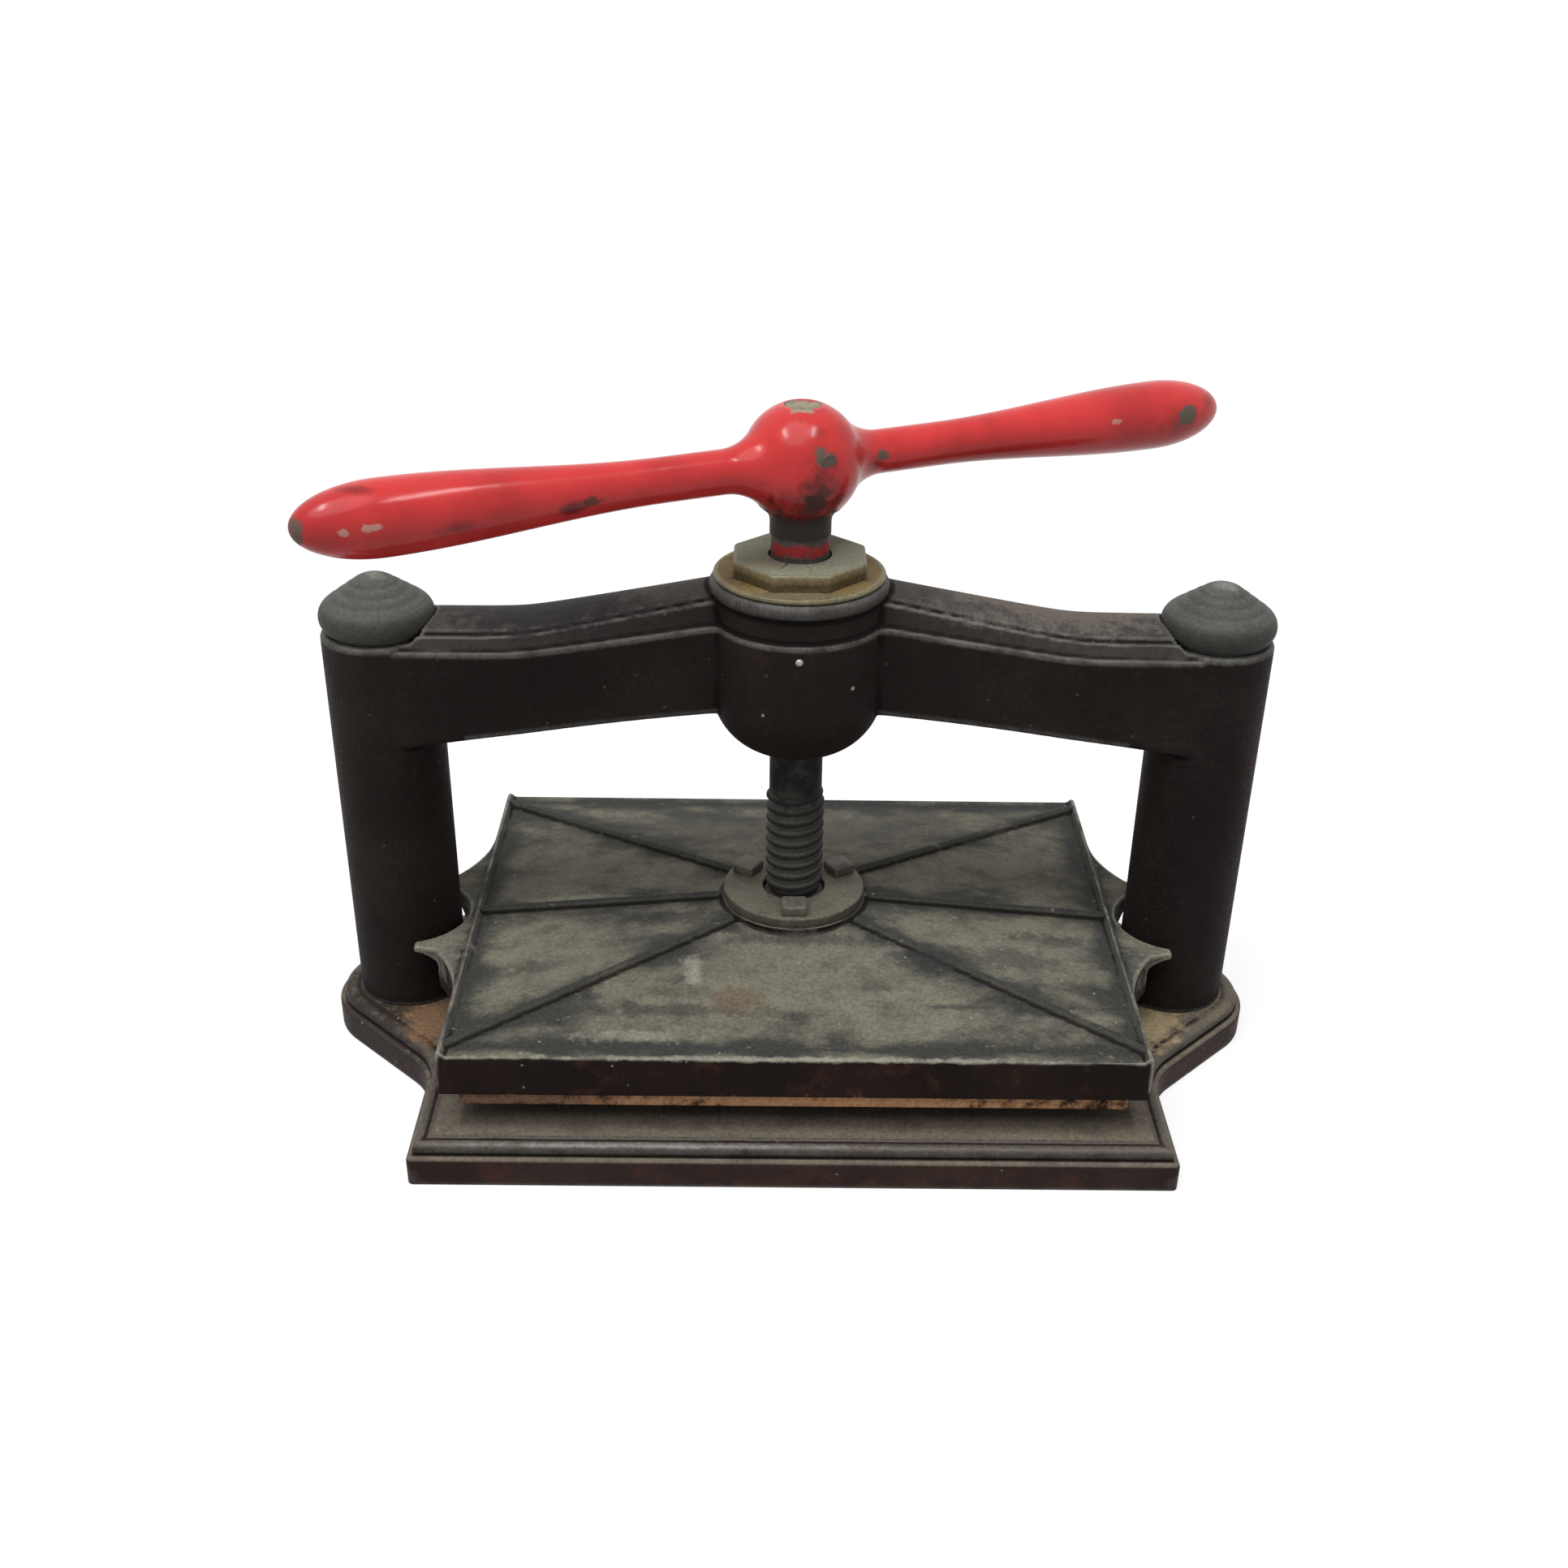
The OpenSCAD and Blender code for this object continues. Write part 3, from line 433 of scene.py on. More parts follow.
for sx in (-1, 1):
    cores.append(revolve("rod_hole", rod_hole, sx * col_x, 48))
    for sy in (-1, 1):
        rib_corner = (sx * bed_rib_t / 2, sy * bed_rib_t / 2)
        wall_corner = (sx * hollow_l, sy * hollow_d)
        low = (*np.minimum(rib_corner, wall_corner), -past)
        high = (*np.maximum(rib_corner, wall_corner), hollow_h)
        cores.append(block("pocket", low, high))
combine(bed, join(*cores), "DIFFERENCE")
rub(bed, tight_r=3.2 * mm, spread=1)
spare(bed, (0, 0, band_h), (anywhere, anywhere, 1.3 * lip_h))
bead_glint = (0.24, 0.24, 0.235)
left_ear_shade = (0.026, 0.020, 0.018)
bed_stains_and_light = [
    ((-222, -5, 24.6), (70, 80, 2.4), (0.105, 0.072, 0.045), 0.9),
    ((222, -5, 24.6), (80, 90, 3), (0.150, 0.125, 0.090), 0.9),
    # Painted highlight along the bead's front.
    ((-75, -162, 24), (120, 4, 1.6), bead_glint, 0.55),
    # Painted shade over the left ear's moulding and band.
    ((-250, -45, 14), (75, 75, 26), left_ear_shade, 0.85),
    ((-213, -48, 24.6), (24, 34, 2.4), (0.215, 0.128, 0.074), 0.95),
    ((213, -48, 24.6), (24, 34, 2.4), (0.33, 0.255, 0.150), 0.95),
]
bed_paint = weathered(
    "bed_paint", paint=(0.022, 0.0125, 0.0105), worn_paint=(0.036, 0.022, 0.018), dust=(0.17, 0.145, 0.113),
    rust=(0.060, 0.026, 0.017), bare=(0.086, 0.078, 0.070), dusting=0.9, rusting=0.6, rubbed=0.75, shine=0.10,
    rust_from=8 * mm, rust_to=20 * mm, flakes=0.55, marks=bed_stains_and_light,
)
dress(bed, bed_paint, "base", "black_iron", "bed_casting")


# Tie rods
# A steel rod runs down through each column into the bed, where a washer and a hexagon nut hold it.
# They are dull turned steel with brown oxide, and only their ends show, under the bed.
def dull_steel(name, sound, oxide, gloss):
    """Turned or forged steel that has gone dull, with oxide in cloudy patches."""
    material, tree, shader, where = finish(name)
    patchy = cloud(tree, where, size=9 * mm, detail=5.0, rough=0.65)
    fine = cloud(tree, where, size=1.2 * mm, detail=3.0, rough=0.6)
    rusty = ramp(tree, patchy, 0.42, 0.64)
    colour = tint(tree, rusty, (*sound, 1), (*oxide, 1))
    metal = ramp(tree, rusty, 0.0, 1.0, 0.75, 0.15)
    dull = ramp(tree, fine, 0.3, 0.7, gloss, gloss + 0.22)
    bump = node(tree, "Bump", None, Height=fine, Strength=0.3, Distance=0.3 * mm).outputs[0]
    lay_on(tree, shader, Base_Color=colour, Metallic=metal, Roughness=dull, Normal=bump)
    return material


def coat(cad_node, material):
    """Gives a CAD node that shows as it is a material."""
    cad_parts[cad_node].data.materials.clear()
    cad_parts[cad_node].data.materials.append(material)


tie_steel = dull_steel("tie_steel", sound=(0.20, 0.19, 0.18), oxide=(0.075, 0.045, 0.032), gloss=0.42)
for side in ("left", "right"):
    for kind in ("tie_rod", "tie_washer", "tie_nut"):
        coat(side + "_" + kind, tie_steel)

# Arch
# Columns, gull-wing beam and boss are one iron casting, with hollow corners where they run together.
# Its sides are near-black paint, its top is greyer with dust, and the edges are rubbed to a pale line.
# Painted shade darkens the top of the beam's left half.
arch_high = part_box("arch_casting")[1]
finial_low, finial_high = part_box("right_finial_nut")
finial_r = finial_high.x - col_x
col_r = arch_high.x - col_x
shoulder_w = 4 * mm
shoulder_h = 2.5 * mm
col_top = finial_low.z - shoulder_h
beam_half_d = 30 * mm
beam_end_h = 55 * mm
beam_mid_h = 52 * mm
beam_slope = 0.125
beam_setback = 10 * mm
beam_bend_x = 150 * mm
bend_soft = 12 * mm
beam_foot_r = 4 * mm
foot_curve = 0.5
line_r = 2.2 * mm
strip_w = 9 * mm
quirk_d = 3 * mm
crown_end_h = 13 * mm
crown_mid_h = 18.5 * mm
boss_top = arch_high.z
boss_h = 101 * mm
boss_z = boss_top - boss_h
boss_r = 48 * mm
bowl_r = 36 * mm
boss_edge_r = 1.2 * mm
boss_neck_h = 23 * mm
boss_neck_r = 45.6 * mm
boss_ledge_z = boss_top - boss_neck_h
rim_r = 49 * mm
rim_h = 9 * mm
sleeve_r = 30 * mm
sleeve_l = 78 * mm
boss_bore_r = 18.2 * mm


def beam_rise(x):
    """Rise of the beam's top front edge at a distance x from the screw, from the bend to the boss."""
    run = beam_bend_x - max(abs(x), boss_r)
    return beam_slope * (run + math.sqrt(run * run + bend_soft * bend_soft)) / 2


def beam_top(x):
    """Height of the beam's top front edge."""
    return col_top + beam_rise(x) - beam_rise(col_x)


def beam_foot(x):
    """Height of the beam's arched underside."""
    end = col_top - beam_end_h
    mid = beam_top(boss_r) - beam_mid_h
    share = (col_x - col_r - abs(x)) / (col_x - col_r - boss_r)
    return end + (mid - end) * (share + foot_curve * share * (1 - share))


def beam_section(x):
    """Section of the beam: rounded foot, a bead, a slanting strip, a groove and the round back, the same
    behind as in front. Towards the boss its front lies back and its round back gets higher."""
    top = beam_top(x)
    foot = beam_foot(x)
    share = (top - col_top) / (beam_top(boss_r) - col_top)
    setback = beam_setback * share
    half = beam_half_d - setback / 2
    line_z = top - line_r
    crown_h = crown_end_h + (crown_mid_h - crown_end_h) * share
    crown_w = half - 1.9 * line_r
    groove_y = half - strip_w - quirk_d / 2
    crown_turn = math.degrees(math.acos((groove_y - quirk_d / 4) / crown_w))
    crown = arc((0, line_z), crown_w, crown_h + line_r, crown_turn, 86, 18)
    back = np.concatenate((
        arc((half - beam_foot_r, foot + beam_foot_r), beam_foot_r, beam_foot_r, -90, 0, 6),
        arc((half - line_r, line_z), line_r, line_r, 0, 110, 8),
        [(half - strip_w, crown[0][1] - quirk_d / 2), (groove_y, crown[0][1] - quirk_d)],
        crown,
    ))
    outline = np.concatenate((back, back[::-1] * (-1, 1))) + (setback / 2, 0)
    return np.column_stack((np.full(len(outline), x), outline))


def soften(made, grain, rounds, keep):
    """Runs a piece's parts together as a casting: one skin of the grain's size, smoothed, then thinned."""
    skin = made.modifiers.new("skin", "REMESH")
    skin.mode = "VOXEL"
    skin.voxel_size = grain
    smooth = made.modifiers.new("smooth", "SMOOTH")
    smooth.factor = 0.5
    smooth.iterations = rounds
    thin = made.modifiers.new("thin", "DECIMATE")
    thin.ratio = keep
    return settle(made, 180)


column_profile = np.concatenate((
    [(rod_bore_r, bed_high.z), (col_r, bed_high.z)],
    arc((col_r - shoulder_w, col_top), shoulder_w, shoulder_h, 0, 90, 8),
    [(rod_bore_r, finial_low.z)],
))
recess_r = finial_r + 2 * fit_gap
sleeve_bore_r = sleeve_r + fit_gap
sleeve_foot = boss_top - sleeve_l - 2 * fit_gap
boss_profile = np.concatenate((
    [(boss_bore_r, boss_z)],
    arc((boss_r - bowl_r, boss_z + bowl_r), bowl_r, bowl_r, -90, 0, 20),
    arc((boss_r - boss_edge_r, boss_ledge_z - boss_edge_r), boss_edge_r, boss_edge_r, 0, 90, 4),
    arc((boss_neck_r + boss_edge_r, boss_ledge_z + boss_edge_r), boss_edge_r, boss_edge_r, 270, 180, 4),
    [(boss_neck_r, boss_top - 1.4 * rim_h)],
    arc((rim_r - rim_h / 2, boss_top - rim_h / 2), rim_h / 2, rim_h / 2, -80, 80, 10),
    [(sleeve_bore_r, boss_top), (sleeve_bore_r, sleeve_foot), (boss_bore_r, sleeve_foot)],
))
beam_start = sleeve_bore_r + 3 * mm
beam_stop = col_x - rod_bore_r - 0.8 * mm
arch_parts = [revolve("boss", boss_profile, count=160)]
for sx in (-1, 1):
    arm = loft("arm", [beam_section(x) for x in sx * np.linspace(beam_start, beam_stop, 60)])
    recess = cylinder("recess", recess_r, finial_low.z, finial_high.z, sx * col_x)
    arch_parts.append(combine(arm, recess, "DIFFERENCE"))
    arch_parts.append(revolve("column", column_profile, sx * col_x))
arch = join(*arch_parts)
arch.name = "arch"
soften(arch, grain=1.05 * mm, rounds=3, keep=0.34)
rub(arch, tight_r=2.5 * mm, spread=2)
for sx in (-1, 1):
    under_beam = (sx * (col_x - col_r / 2), 0, col_top - beam_end_h)
    spare(arch, under_beam, (col_r, 1.2 * beam_half_d, 12 * mm))
arch_stains_and_shade = [
    # Painted shade over the top of the beam's left half.
    ((-135, 0, 267), (80, 42, 20), (0.026, 0.024, 0.024), 0.9),
    # Darker down the front of the right column.
    ((232, -31, 150), (40, 12, 100), (0.012, 0.009, 0.009), 0.6),
    ((150, 4, 268), (95, 30, 16), (0.140, 0.122, 0.105), 0.75),
    ((140, 8, 274), (60, 10, 9), (0.105, 0.066, 0.046), 0.5),
    ((262, -8, 190), (9, 30, 70), (0.040, 0.021, 0.017), 0.6),
    ((-262, -8, 170), (9, 30, 90), (0.045, 0.025, 0.020), 0.7),
    ((29, -38, 236), (1.4, 5, 1.4), (0.45, 0.44, 0.41), 0.9),
    ((-19, -44, 222), (1.2, 5, 1.2), (0.38, 0.37, 0.35), 0.9),
]
arch_paint = weathered(
    "arch_paint", paint=(0.016, 0.0125, 0.0115), worn_paint=(0.025, 0.0185, 0.0170),
    dust=(0.080, 0.075, 0.070), rust=(0.055, 0.031, 0.023), bare=(0.125, 0.120, 0.112),
    dusting=0.75, rusting=0.12, rubbed=0.7, shine=0.045, flakes=0.15, marks=arch_stains_and_shade,
)
dress(arch, arch_paint, "base", "black_iron", "arch_casting")

# Dome nuts
# A cast dome nut pulls up each tie rod and closes the column: a bulging foot, a slant and a round tip.
# Turning left rings on the slant, and dust and handling have made it grey-green; a pale patch on the tip is a
# painted highlight.
finial_h = finial_high.z - finial_low.z
finial_foot_r = 27 * mm
finial_bore_h = 20.2 * mm
bulge_r = 10 * mm
tip_r = 19 * mm
turned_rings = 3
turned_d = 0.13 * mm


def heading(start, end):
    """Direction from one point to another, in degrees."""
    return math.degrees(math.atan2(end[1] - start[1], end[0] - start[0]))


bulge_x = finial_r - bulge_r
bulge_at = np.array((bulge_x, math.sqrt(bulge_r ** 2 - (finial_foot_r - bulge_x) ** 2)))
tip_at = np.array((0, finial_h - tip_r))
apart = np.linalg.norm(bulge_at - tip_at)
slant = heading(tip_at, bulge_at) + math.degrees(math.acos((tip_r - bulge_r) / apart))
bulge = arc(bulge_at, bulge_r, bulge_r, heading(bulge_at, (finial_foot_r, 0)), slant, 26)
tip = arc(tip_at, tip_r, tip_r, slant, 90, 14)
share = np.linspace(0, 1, 34)[1:-1]
ripple = turned_d * np.sin(2 * math.pi * turned_rings * share)
outwards = (math.cos(math.radians(slant)), math.sin(math.radians(slant)))
flank = bulge[-1] + np.outer(share, tip[0] - bulge[-1]) + np.outer(ripple, outwards)
finial_profile = np.concatenate((
    [(0, finial_bore_h), (rod_bore_r, finial_bore_h), (rod_bore_r, 0)], bulge, flank, tip,
))
# A pale patch on each tip is a painted highlight.
finial_iron = weathered(
    "finial_iron", paint=(0.040, 0.040, 0.036), worn_paint=(0.062, 0.062, 0.056), dust=(0.115, 0.118, 0.105),
    rust=(0.085, 0.055, 0.038), bare=(0.20, 0.20, 0.185), dusting=0.75, rusting=0.08, rubbed=0.7, cast=0.6,
    marks=[((sx * 230, -2, 284), (9, 9, 5), (0.21, 0.21, 0.19), 0.7) for sx in (-1, 1)],
)
for side, sx in (("left", -1), ("right", 1)):
    finial = revolve("finial_" + side, finial_profile + (0, finial_low.z), sx * col_x)
    settle(finial, sharp=45)
    rub(finial, tight_r=2.4 * mm, spread=1)
    dress(finial, finial_iron, "base", "black_iron", side + "_finial_nut")

# Bronze nut
# A flanged bronze nut with an eight-sided head is let into the boss, where a steel pin locks it.
# Its top has a grey-green patina, its sides are brassy brown, and its flange is rubbed pale, with painted
# shade across its front.
nut_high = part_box("bronze_nut")[1]
nut_sides = 8
nut_af = 71 * mm
nut_corner_r = 5 * mm
nut_edge_r = 1.2 * mm
flange_r = nut_high.x
flange_t = 3 * mm
nut_bore_r = 17.2 * mm


def nut_plan(inset, height):
    """The head's eight-sided plan with rounded corners, drawn in by inset."""
    corner = nut_corner_r - inset
    reach = (nut_af / 2 - nut_corner_r) / math.cos(math.pi / nut_sides)
    step = 360 / nut_sides
    ring = []
    for k in range(nut_sides):
        towards = math.radians((k + 0.5) * step)
        middle = (reach * math.cos(towards), reach * math.sin(towards))
        ring.append(arc(middle, corner, corner, k * step, (k + 1) * step, 5))
    return level(np.concatenate(ring), height)


head_edge = np.concatenate((
    [(0, boss_top + flange_t / 2), (0, boss_top + 1.4 * flange_t), (0, nut_high.z - 2 * nut_edge_r)],
    arc((nut_edge_r, nut_high.z - nut_edge_r), -nut_edge_r, nut_edge_r, 0, 90, 4),
    [(2 * nut_edge_r, nut_high.z)],
))
head_rings = [nut_plan(inset, height) for inset, height in head_edge]
flange_profile = np.concatenate((
    [(0, boss_top - sleeve_l), (sleeve_r, boss_top - sleeve_l), (sleeve_r, boss_top)],
    arc((flange_r - flange_t / 2, boss_top + flange_t / 2), flange_t / 2, flange_t / 2, -90, 90, 8),
    [(flange_r - flange_t, boss_top + flange_t), (0, boss_top + flange_t)],
))
bore = cylinder("bore", nut_bore_r, boss_top - sleeve_l - past, nut_high.z + past)
nut = revolve("screw_nut", flange_profile)
combine(nut, loft("head", head_rings), "UNION")
combine(nut, bore, "DIFFERENCE")
rub(nut, tight_r=2 * mm, spread=0)
# Painted shade across the front of the flange.
nut_flange_shade = [((0, -41, (boss_top + flange_t) / mm), (46, 9, 3), (0.135, 0.122, 0.076), 0.7)]
nut_bronze = weathered(
    "nut_bronze", paint=(0.165, 0.113, 0.048), worn_paint=(0.215, 0.155, 0.070), dust=(0.215, 0.225, 0.168),
    rust=(0.10, 0.11, 0.075), bare=(0.215, 0.20, 0.135), dusting=0.95, rusting=0.3, rubbed=0.8, cast=0.5,
    dust_from=290 * mm, marks=nut_flange_shade,
)
dress(nut, nut_bronze, "base", "bronze", "bronze_nut")
lock_steel = dull_steel("lock_steel", sound=(0.60, 0.59, 0.56), oxide=(0.30, 0.28, 0.25), gloss=0.4)
coat("nut_locking_pin", lock_steel)

# Platen
# One iron casting: a hipped plate with six ribs, a raised pressing face below and a notched ear at each end
# that the columns guide. Paint is nearly gone from its top, which is grey-olive with dark and pale stains.
# A hardened steel pad lies in it, under the screw's foot.
# A pale line along its front top edge is a painted highlight, the pressing face's rust is lightened as
# painted light, and the dark along the ribs and rims is soiling and painted shade.
platen_low, platen_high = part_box("platen_casting")
worn_rim_x = 187 * mm
worn_rim_y = 149.5 * mm
press_face_h = 16 * mm
rib_end_x = 184
rib_end_y = 140
stain_dark = (0.036, 0.036, 0.036)
stain_grey = (0.070, 0.068, 0.061)
stain_pale = (0.30, 0.29, 0.235)
stain_rust = (0.13, 0.092, 0.062)
press_rust_and_light = (0.50, 0.27, 0.14)
platen_stains_and_light = [
    ((0, 100, 78), (200, 42, 14), stain_grey, 0.55),
    ((-70, -22, 80), (50, 10, 12), stain_dark, 0.6),
    ((-150, -66, 78), (26, 12, 12), stain_dark, 0.5),
    ((78, -64, 80), (34, 13, 12), stain_dark, 0.7),
    ((150, -32, 78), (34, 12, 12), stain_dark, 0.65),
    ((-71, -109, 76), (56, 8, 12), stain_dark, 0.6),
    ((90, -105, 76), (30, 3, 12), stain_dark, 0.6),
    ((3, -46, 84), (60, 8, 12), stain_grey, 0.7),
    ((-56, -76, 80), (7, 17, 12), stain_pale, 0.8),
    ((-91, -131, 75), (40, 6, 12), stain_pale, 0.5),
    ((-135, 7, 78), (46, 6, 12), stain_pale, 0.6),
    ((125, -58, 78), (42, 16, 12), stain_grey, 0.7),
    ((-33, -100, 76), (22, 14, 12), stain_rust, 0.6),
    # Painted highlight along the front top edge.
    ((0, -150, 72.4), (205, 4, 2.6), stain_pale, 0.8),
    # Rust on the pressing face, lightened as painted light on it.
    ((20, -144.5, 42.5), (240, 5, 12), press_rust_and_light, 1.0),
    # Darker at the left end of the pressing face.
    ((-150, -144.5, 42.5), (60, 5, 12), (0.22, 0.13, 0.085), 0.8),
    ((-205, -25, 68), (24, 50, 14), (0.190, 0.172, 0.135), 0.75),
    ((205, -25, 62), (24, 50, 14), (0.190, 0.172, 0.135), 0.6),
]


def copied(cad_node, name):
    """A copy of a CAD node's mesh, merged, as a new piece."""
    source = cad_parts[cad_node].data
    return piece(name, places(source), [tuple(face.vertices) for face in source.polygons])


def stain_and_shade_along(made, lines, reach):
    """Writes how near a piece's points are, in plan, to the lines along which soiling and painted shade
    darken it, from 0 to 1.
    """
    plan = places(made.data)[:, :2]
    nearest = np.full(len(plan), np.inf)
    for start, end in lines:
        start, end = np.array(start) * mm, np.array(end) * mm
        run = end - start
        share = np.clip((plan - start) @ run / (run @ run), 0, 1)
        nearest = np.minimum(nearest, np.linalg.norm(plan - start - np.outer(share, run), axis=1))
    layer = made.data.attributes.new("stain_and_shade", "FLOAT", "POINT")
    layer.data.foreach_set("value", np.exp(-nearest / reach))


platen = copied("platen_casting", "platen")
soften(platen, grain=0.85 * mm, rounds=5, keep=0.2)
rub(platen, tight_r=1.6 * mm, spread=3)
spare(platen, (0, 0, platen_high.z), (worn_rim_x, worn_rim_y, platen_high.z))
spare(platen, (0, 0, platen_low.z), (anywhere, anywhere, press_face_h))
corners = [(sx * rib_end_x, sy * rib_end_y) for sx, sy in ((-1, -1), (1, -1), (1, 1), (-1, 1))]
rib_lines = [(corner, (0, 0)) for corner in corners] + [((-rib_end_x, 0), (rib_end_x, 0))]
rim_lines = list(zip(corners, corners[1:] + corners[:1]))
# Soiling and painted shade darken the platen along its ribs and rims.
stain_and_shade_along(platen, rib_lines + rim_lines, reach=9 * mm)
platen_iron = weathered(
    "platen_iron", paint=(0.013, 0.0082, 0.0072), worn_paint=(0.021, 0.0132, 0.0110),
    dust=(0.182, 0.172, 0.132), rust=(0.060, 0.026, 0.017), bare=(0.26, 0.242, 0.20),
    dusting=1.0, rusting=0.3, rubbed=0.8, shine=0.05, flakes=0.6, marks=platen_stains_and_light,
    stain_and_shade=(0.040, 0.041, 0.039),
)
dress(platen, platen_iron, "platen", "worn_iron", "platen_casting")
pad_steel = dull_steel("pad_steel", sound=(0.30, 0.29, 0.28), oxide=(0.09, 0.06, 0.045), gloss=0.3)
coat("thrust_pad", pad_steel)

# Press screw
# A forged and turned steel screw with a single-start thread, worn round, that is plain below the boss and
# under the hub. It is dark with old oil, red paint has run onto its ring, and its bare end shows in the hub.
# A painted shadow of the boss darkens the neck below it, together with dark oil.
screw_low, screw_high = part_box("lead_screw")
ring_low, ring_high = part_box("keeper_ring")
handle_low, handle_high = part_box("handle")
screw_r = 16.8 * mm
screw_lead = 7 * mm
thread_depth = 2.8 * mm
root_r = screw_r - thread_depth
screw_neck_r = 15.1 * mm
screw_neck_l = 28 * mm
screw_ring_r = 15.7 * mm
neck_in_boss = 6 * mm
collar_r = 26 * mm
collar_t = 10 * mm
nose_r = 15 * mm
run_gap = 0.4 * mm
collar_top = ring_low.z - run_gap
spigot_r = 9.5 * mm
spigot_edge = 0.75 * mm
foot_run_z = (ring_low.z + ring_high.z) / 2


def sized_tree(name, **inputs):
    """A new geometry tree with named inputs of these kinds. Returns it and what its inputs give."""
    tree = bpy.data.node_groups.new(name, "GeometryNodeTree")
    tree.interface.new_socket("Geometry", in_out="OUTPUT", socket_type="NodeSocketGeometry")
    for label, kind in inputs.items():
        tree.interface.new_socket(label.replace("_", " "), in_out="INPUT", socket_type="NodeSocket" + kind)
    return tree, tree.nodes.new("NodeGroupInput").outputs


def close_tree(tree, geometry, material):
    """Ends a geometry tree: instances become real and get their material."""
    real = add(tree, "GeometryNodeRealizeInstances", None, Geometry=geometry)
    coated = add(tree, "GeometryNodeSetMaterial", None, Geometry=real.outputs[0], Material=material)
    tree.links.new(coated.outputs[0], tree.nodes.new("NodeGroupOutput").inputs["Geometry"])
    return tree


def grown(name, tree, sizes, sharp):
    """A piece that a geometry tree makes to these sizes, as a plain mesh."""
    made = piece(name, [], [])
    modifier = made.modifiers.new(name, "NODES")
    modifier.node_group = tree
    for socket in tree.interface.items_tree:
        if socket.name in sizes:
            modifier[socket.identifier] = sizes[socket.name]
    return settle(made, sharp)


def thread_tree():
    """Geometry nodes that roll a strip along a helix: as long as the turns and as wide as one lead."""
    turn_steps = 48.0
    lead_points = 22
    tree, given = sized_tree(
        "thread", Foot="Float", Turns="Float", Lead="Float", Root_radius="Float", Depth="Float",
        Material="Material",
    )
    turns = given["Turns"]

    def work(operation, a, b=0.0):
        return sums(tree, operation, a, b)

    rows = work("ADD", work("MULTIPLY", turns, turn_steps), 1.0)
    strip_size = {"Size_X": turns, "Size_Y": 1.0, "Vertices_X": rows, "Vertices_Y": lead_points}
    strip = add(tree, "GeometryNodeMeshGrid", None, **strip_size)
    place = node(tree, "SeparateXYZ", None, Vector=add(tree, "GeometryNodeInputPosition").outputs[0]).outputs
    along = work("ADD", place["X"], work("MULTIPLY", turns, 0.5))
    across = work("ADD", place["Y"], 0.5)
    crest = work("MULTIPLY", ramp(tree, across, 0.06, 0.36), ramp(tree, across, 1.0, 0.44))
    done = work("ADD", along, across)
    fade_out = ramp(tree, done, turns, work("SUBTRACT", turns, 1.0))
    fade = work("MULTIPLY", ramp(tree, done, 1.0, 2.0), fade_out)
    bulge = work("MULTIPLY", work("MULTIPLY", crest, fade), given["Depth"])
    radius = work("ADD", given["Root radius"], bulge)
    angle = work("MULTIPLY", along, 2 * math.pi)
    height = work("ADD", given["Foot"], work("MULTIPLY", done, given["Lead"]))
    x = work("MULTIPLY", radius, work("COSINE", angle))
    y = work("MULTIPLY", radius, work("SINE", angle))
    spot = node(tree, "CombineXYZ", None, X=x, Y=y, Z=height).outputs[0]
    rolled = add(tree, "GeometryNodeSetPosition", None, Geometry=strip.outputs["Mesh"], Position=spot)
    closed = add(tree, "GeometryNodeMergeByDistance", None, Geometry=rolled.outputs[0], Distance=0.01 * mm)
    return close_tree(tree, closed.outputs[0], given["Material"])


def thread(name, tree, foot, head, material):
    """One run of thread that fades out over a turn at each end, with its two ends closed."""
    turns = math.ceil((head - foot) / screw_lead) + 1.0
    sizes = {"Foot": foot - screw_lead, "Turns": turns, "Lead": screw_lead, "Root radius": root_r,
             "Depth": thread_depth, "Material": material}
    made = grown(name, tree, sizes, sharp=60)
    shape = bmesh.new()
    shape.from_mesh(made.data)
    bmesh.ops.holes_fill(shape, edges=[edge for edge in shape.edges if edge.is_boundary])
    bmesh.ops.recalc_face_normals(shape, faces=shape.faces)
    shape.to_mesh(made.data)
    shape.free()
    return made


screw_marks_and_shadow = [
    # Dark oil and a painted shadow of the boss on the neck below it.
    ((0, 0, 172), (40, 40, 24), (0.013, 0.0105, 0.0095), 0.85),
    ((0, 0, 303), (40, 40, 5), (0.36, 0.035, 0.038), 1.0),
    ((0, -2, 378), (14, 14, 4), (0.30, 0.26, 0.18), 1.0),
    ((2, 9, 378), (14, 9, 4), (0.42, 0.035, 0.036), 0.95),
]
screw_steel = weathered(
    "screw_steel", paint=(0.045, 0.043, 0.039), worn_paint=(0.070, 0.067, 0.060), dust=(0.10, 0.096, 0.085),
    rust=(0.075, 0.050, 0.036), bare=(0.12, 0.118, 0.110), dusting=0.5, rusting=0.15, rubbed=0.5, cast=0.5,
    marks=screw_marks_and_shadow,
)
neck_z = boss_z - screw_neck_l
top_run_z = boss_z + neck_in_boss
hub_foot_z = handle_low.z
helix = thread_tree()
lower_run = thread("lower_run", helix, foot_run_z, neck_z, screw_steel)
upper_run = thread("upper_run", helix, top_run_z - screw_lead, nut_high.z, screw_steel)
shaft_profile = np.array((
    (0, screw_low.z), (nose_r - past, screw_low.z), (nose_r, screw_low.z + past),
    (nose_r, collar_top - collar_t), (collar_r, collar_top - collar_t), (collar_r, collar_top),
    (screw_r + run_gap, collar_top), (screw_r + run_gap, foot_run_z), (0, foot_run_z),
))
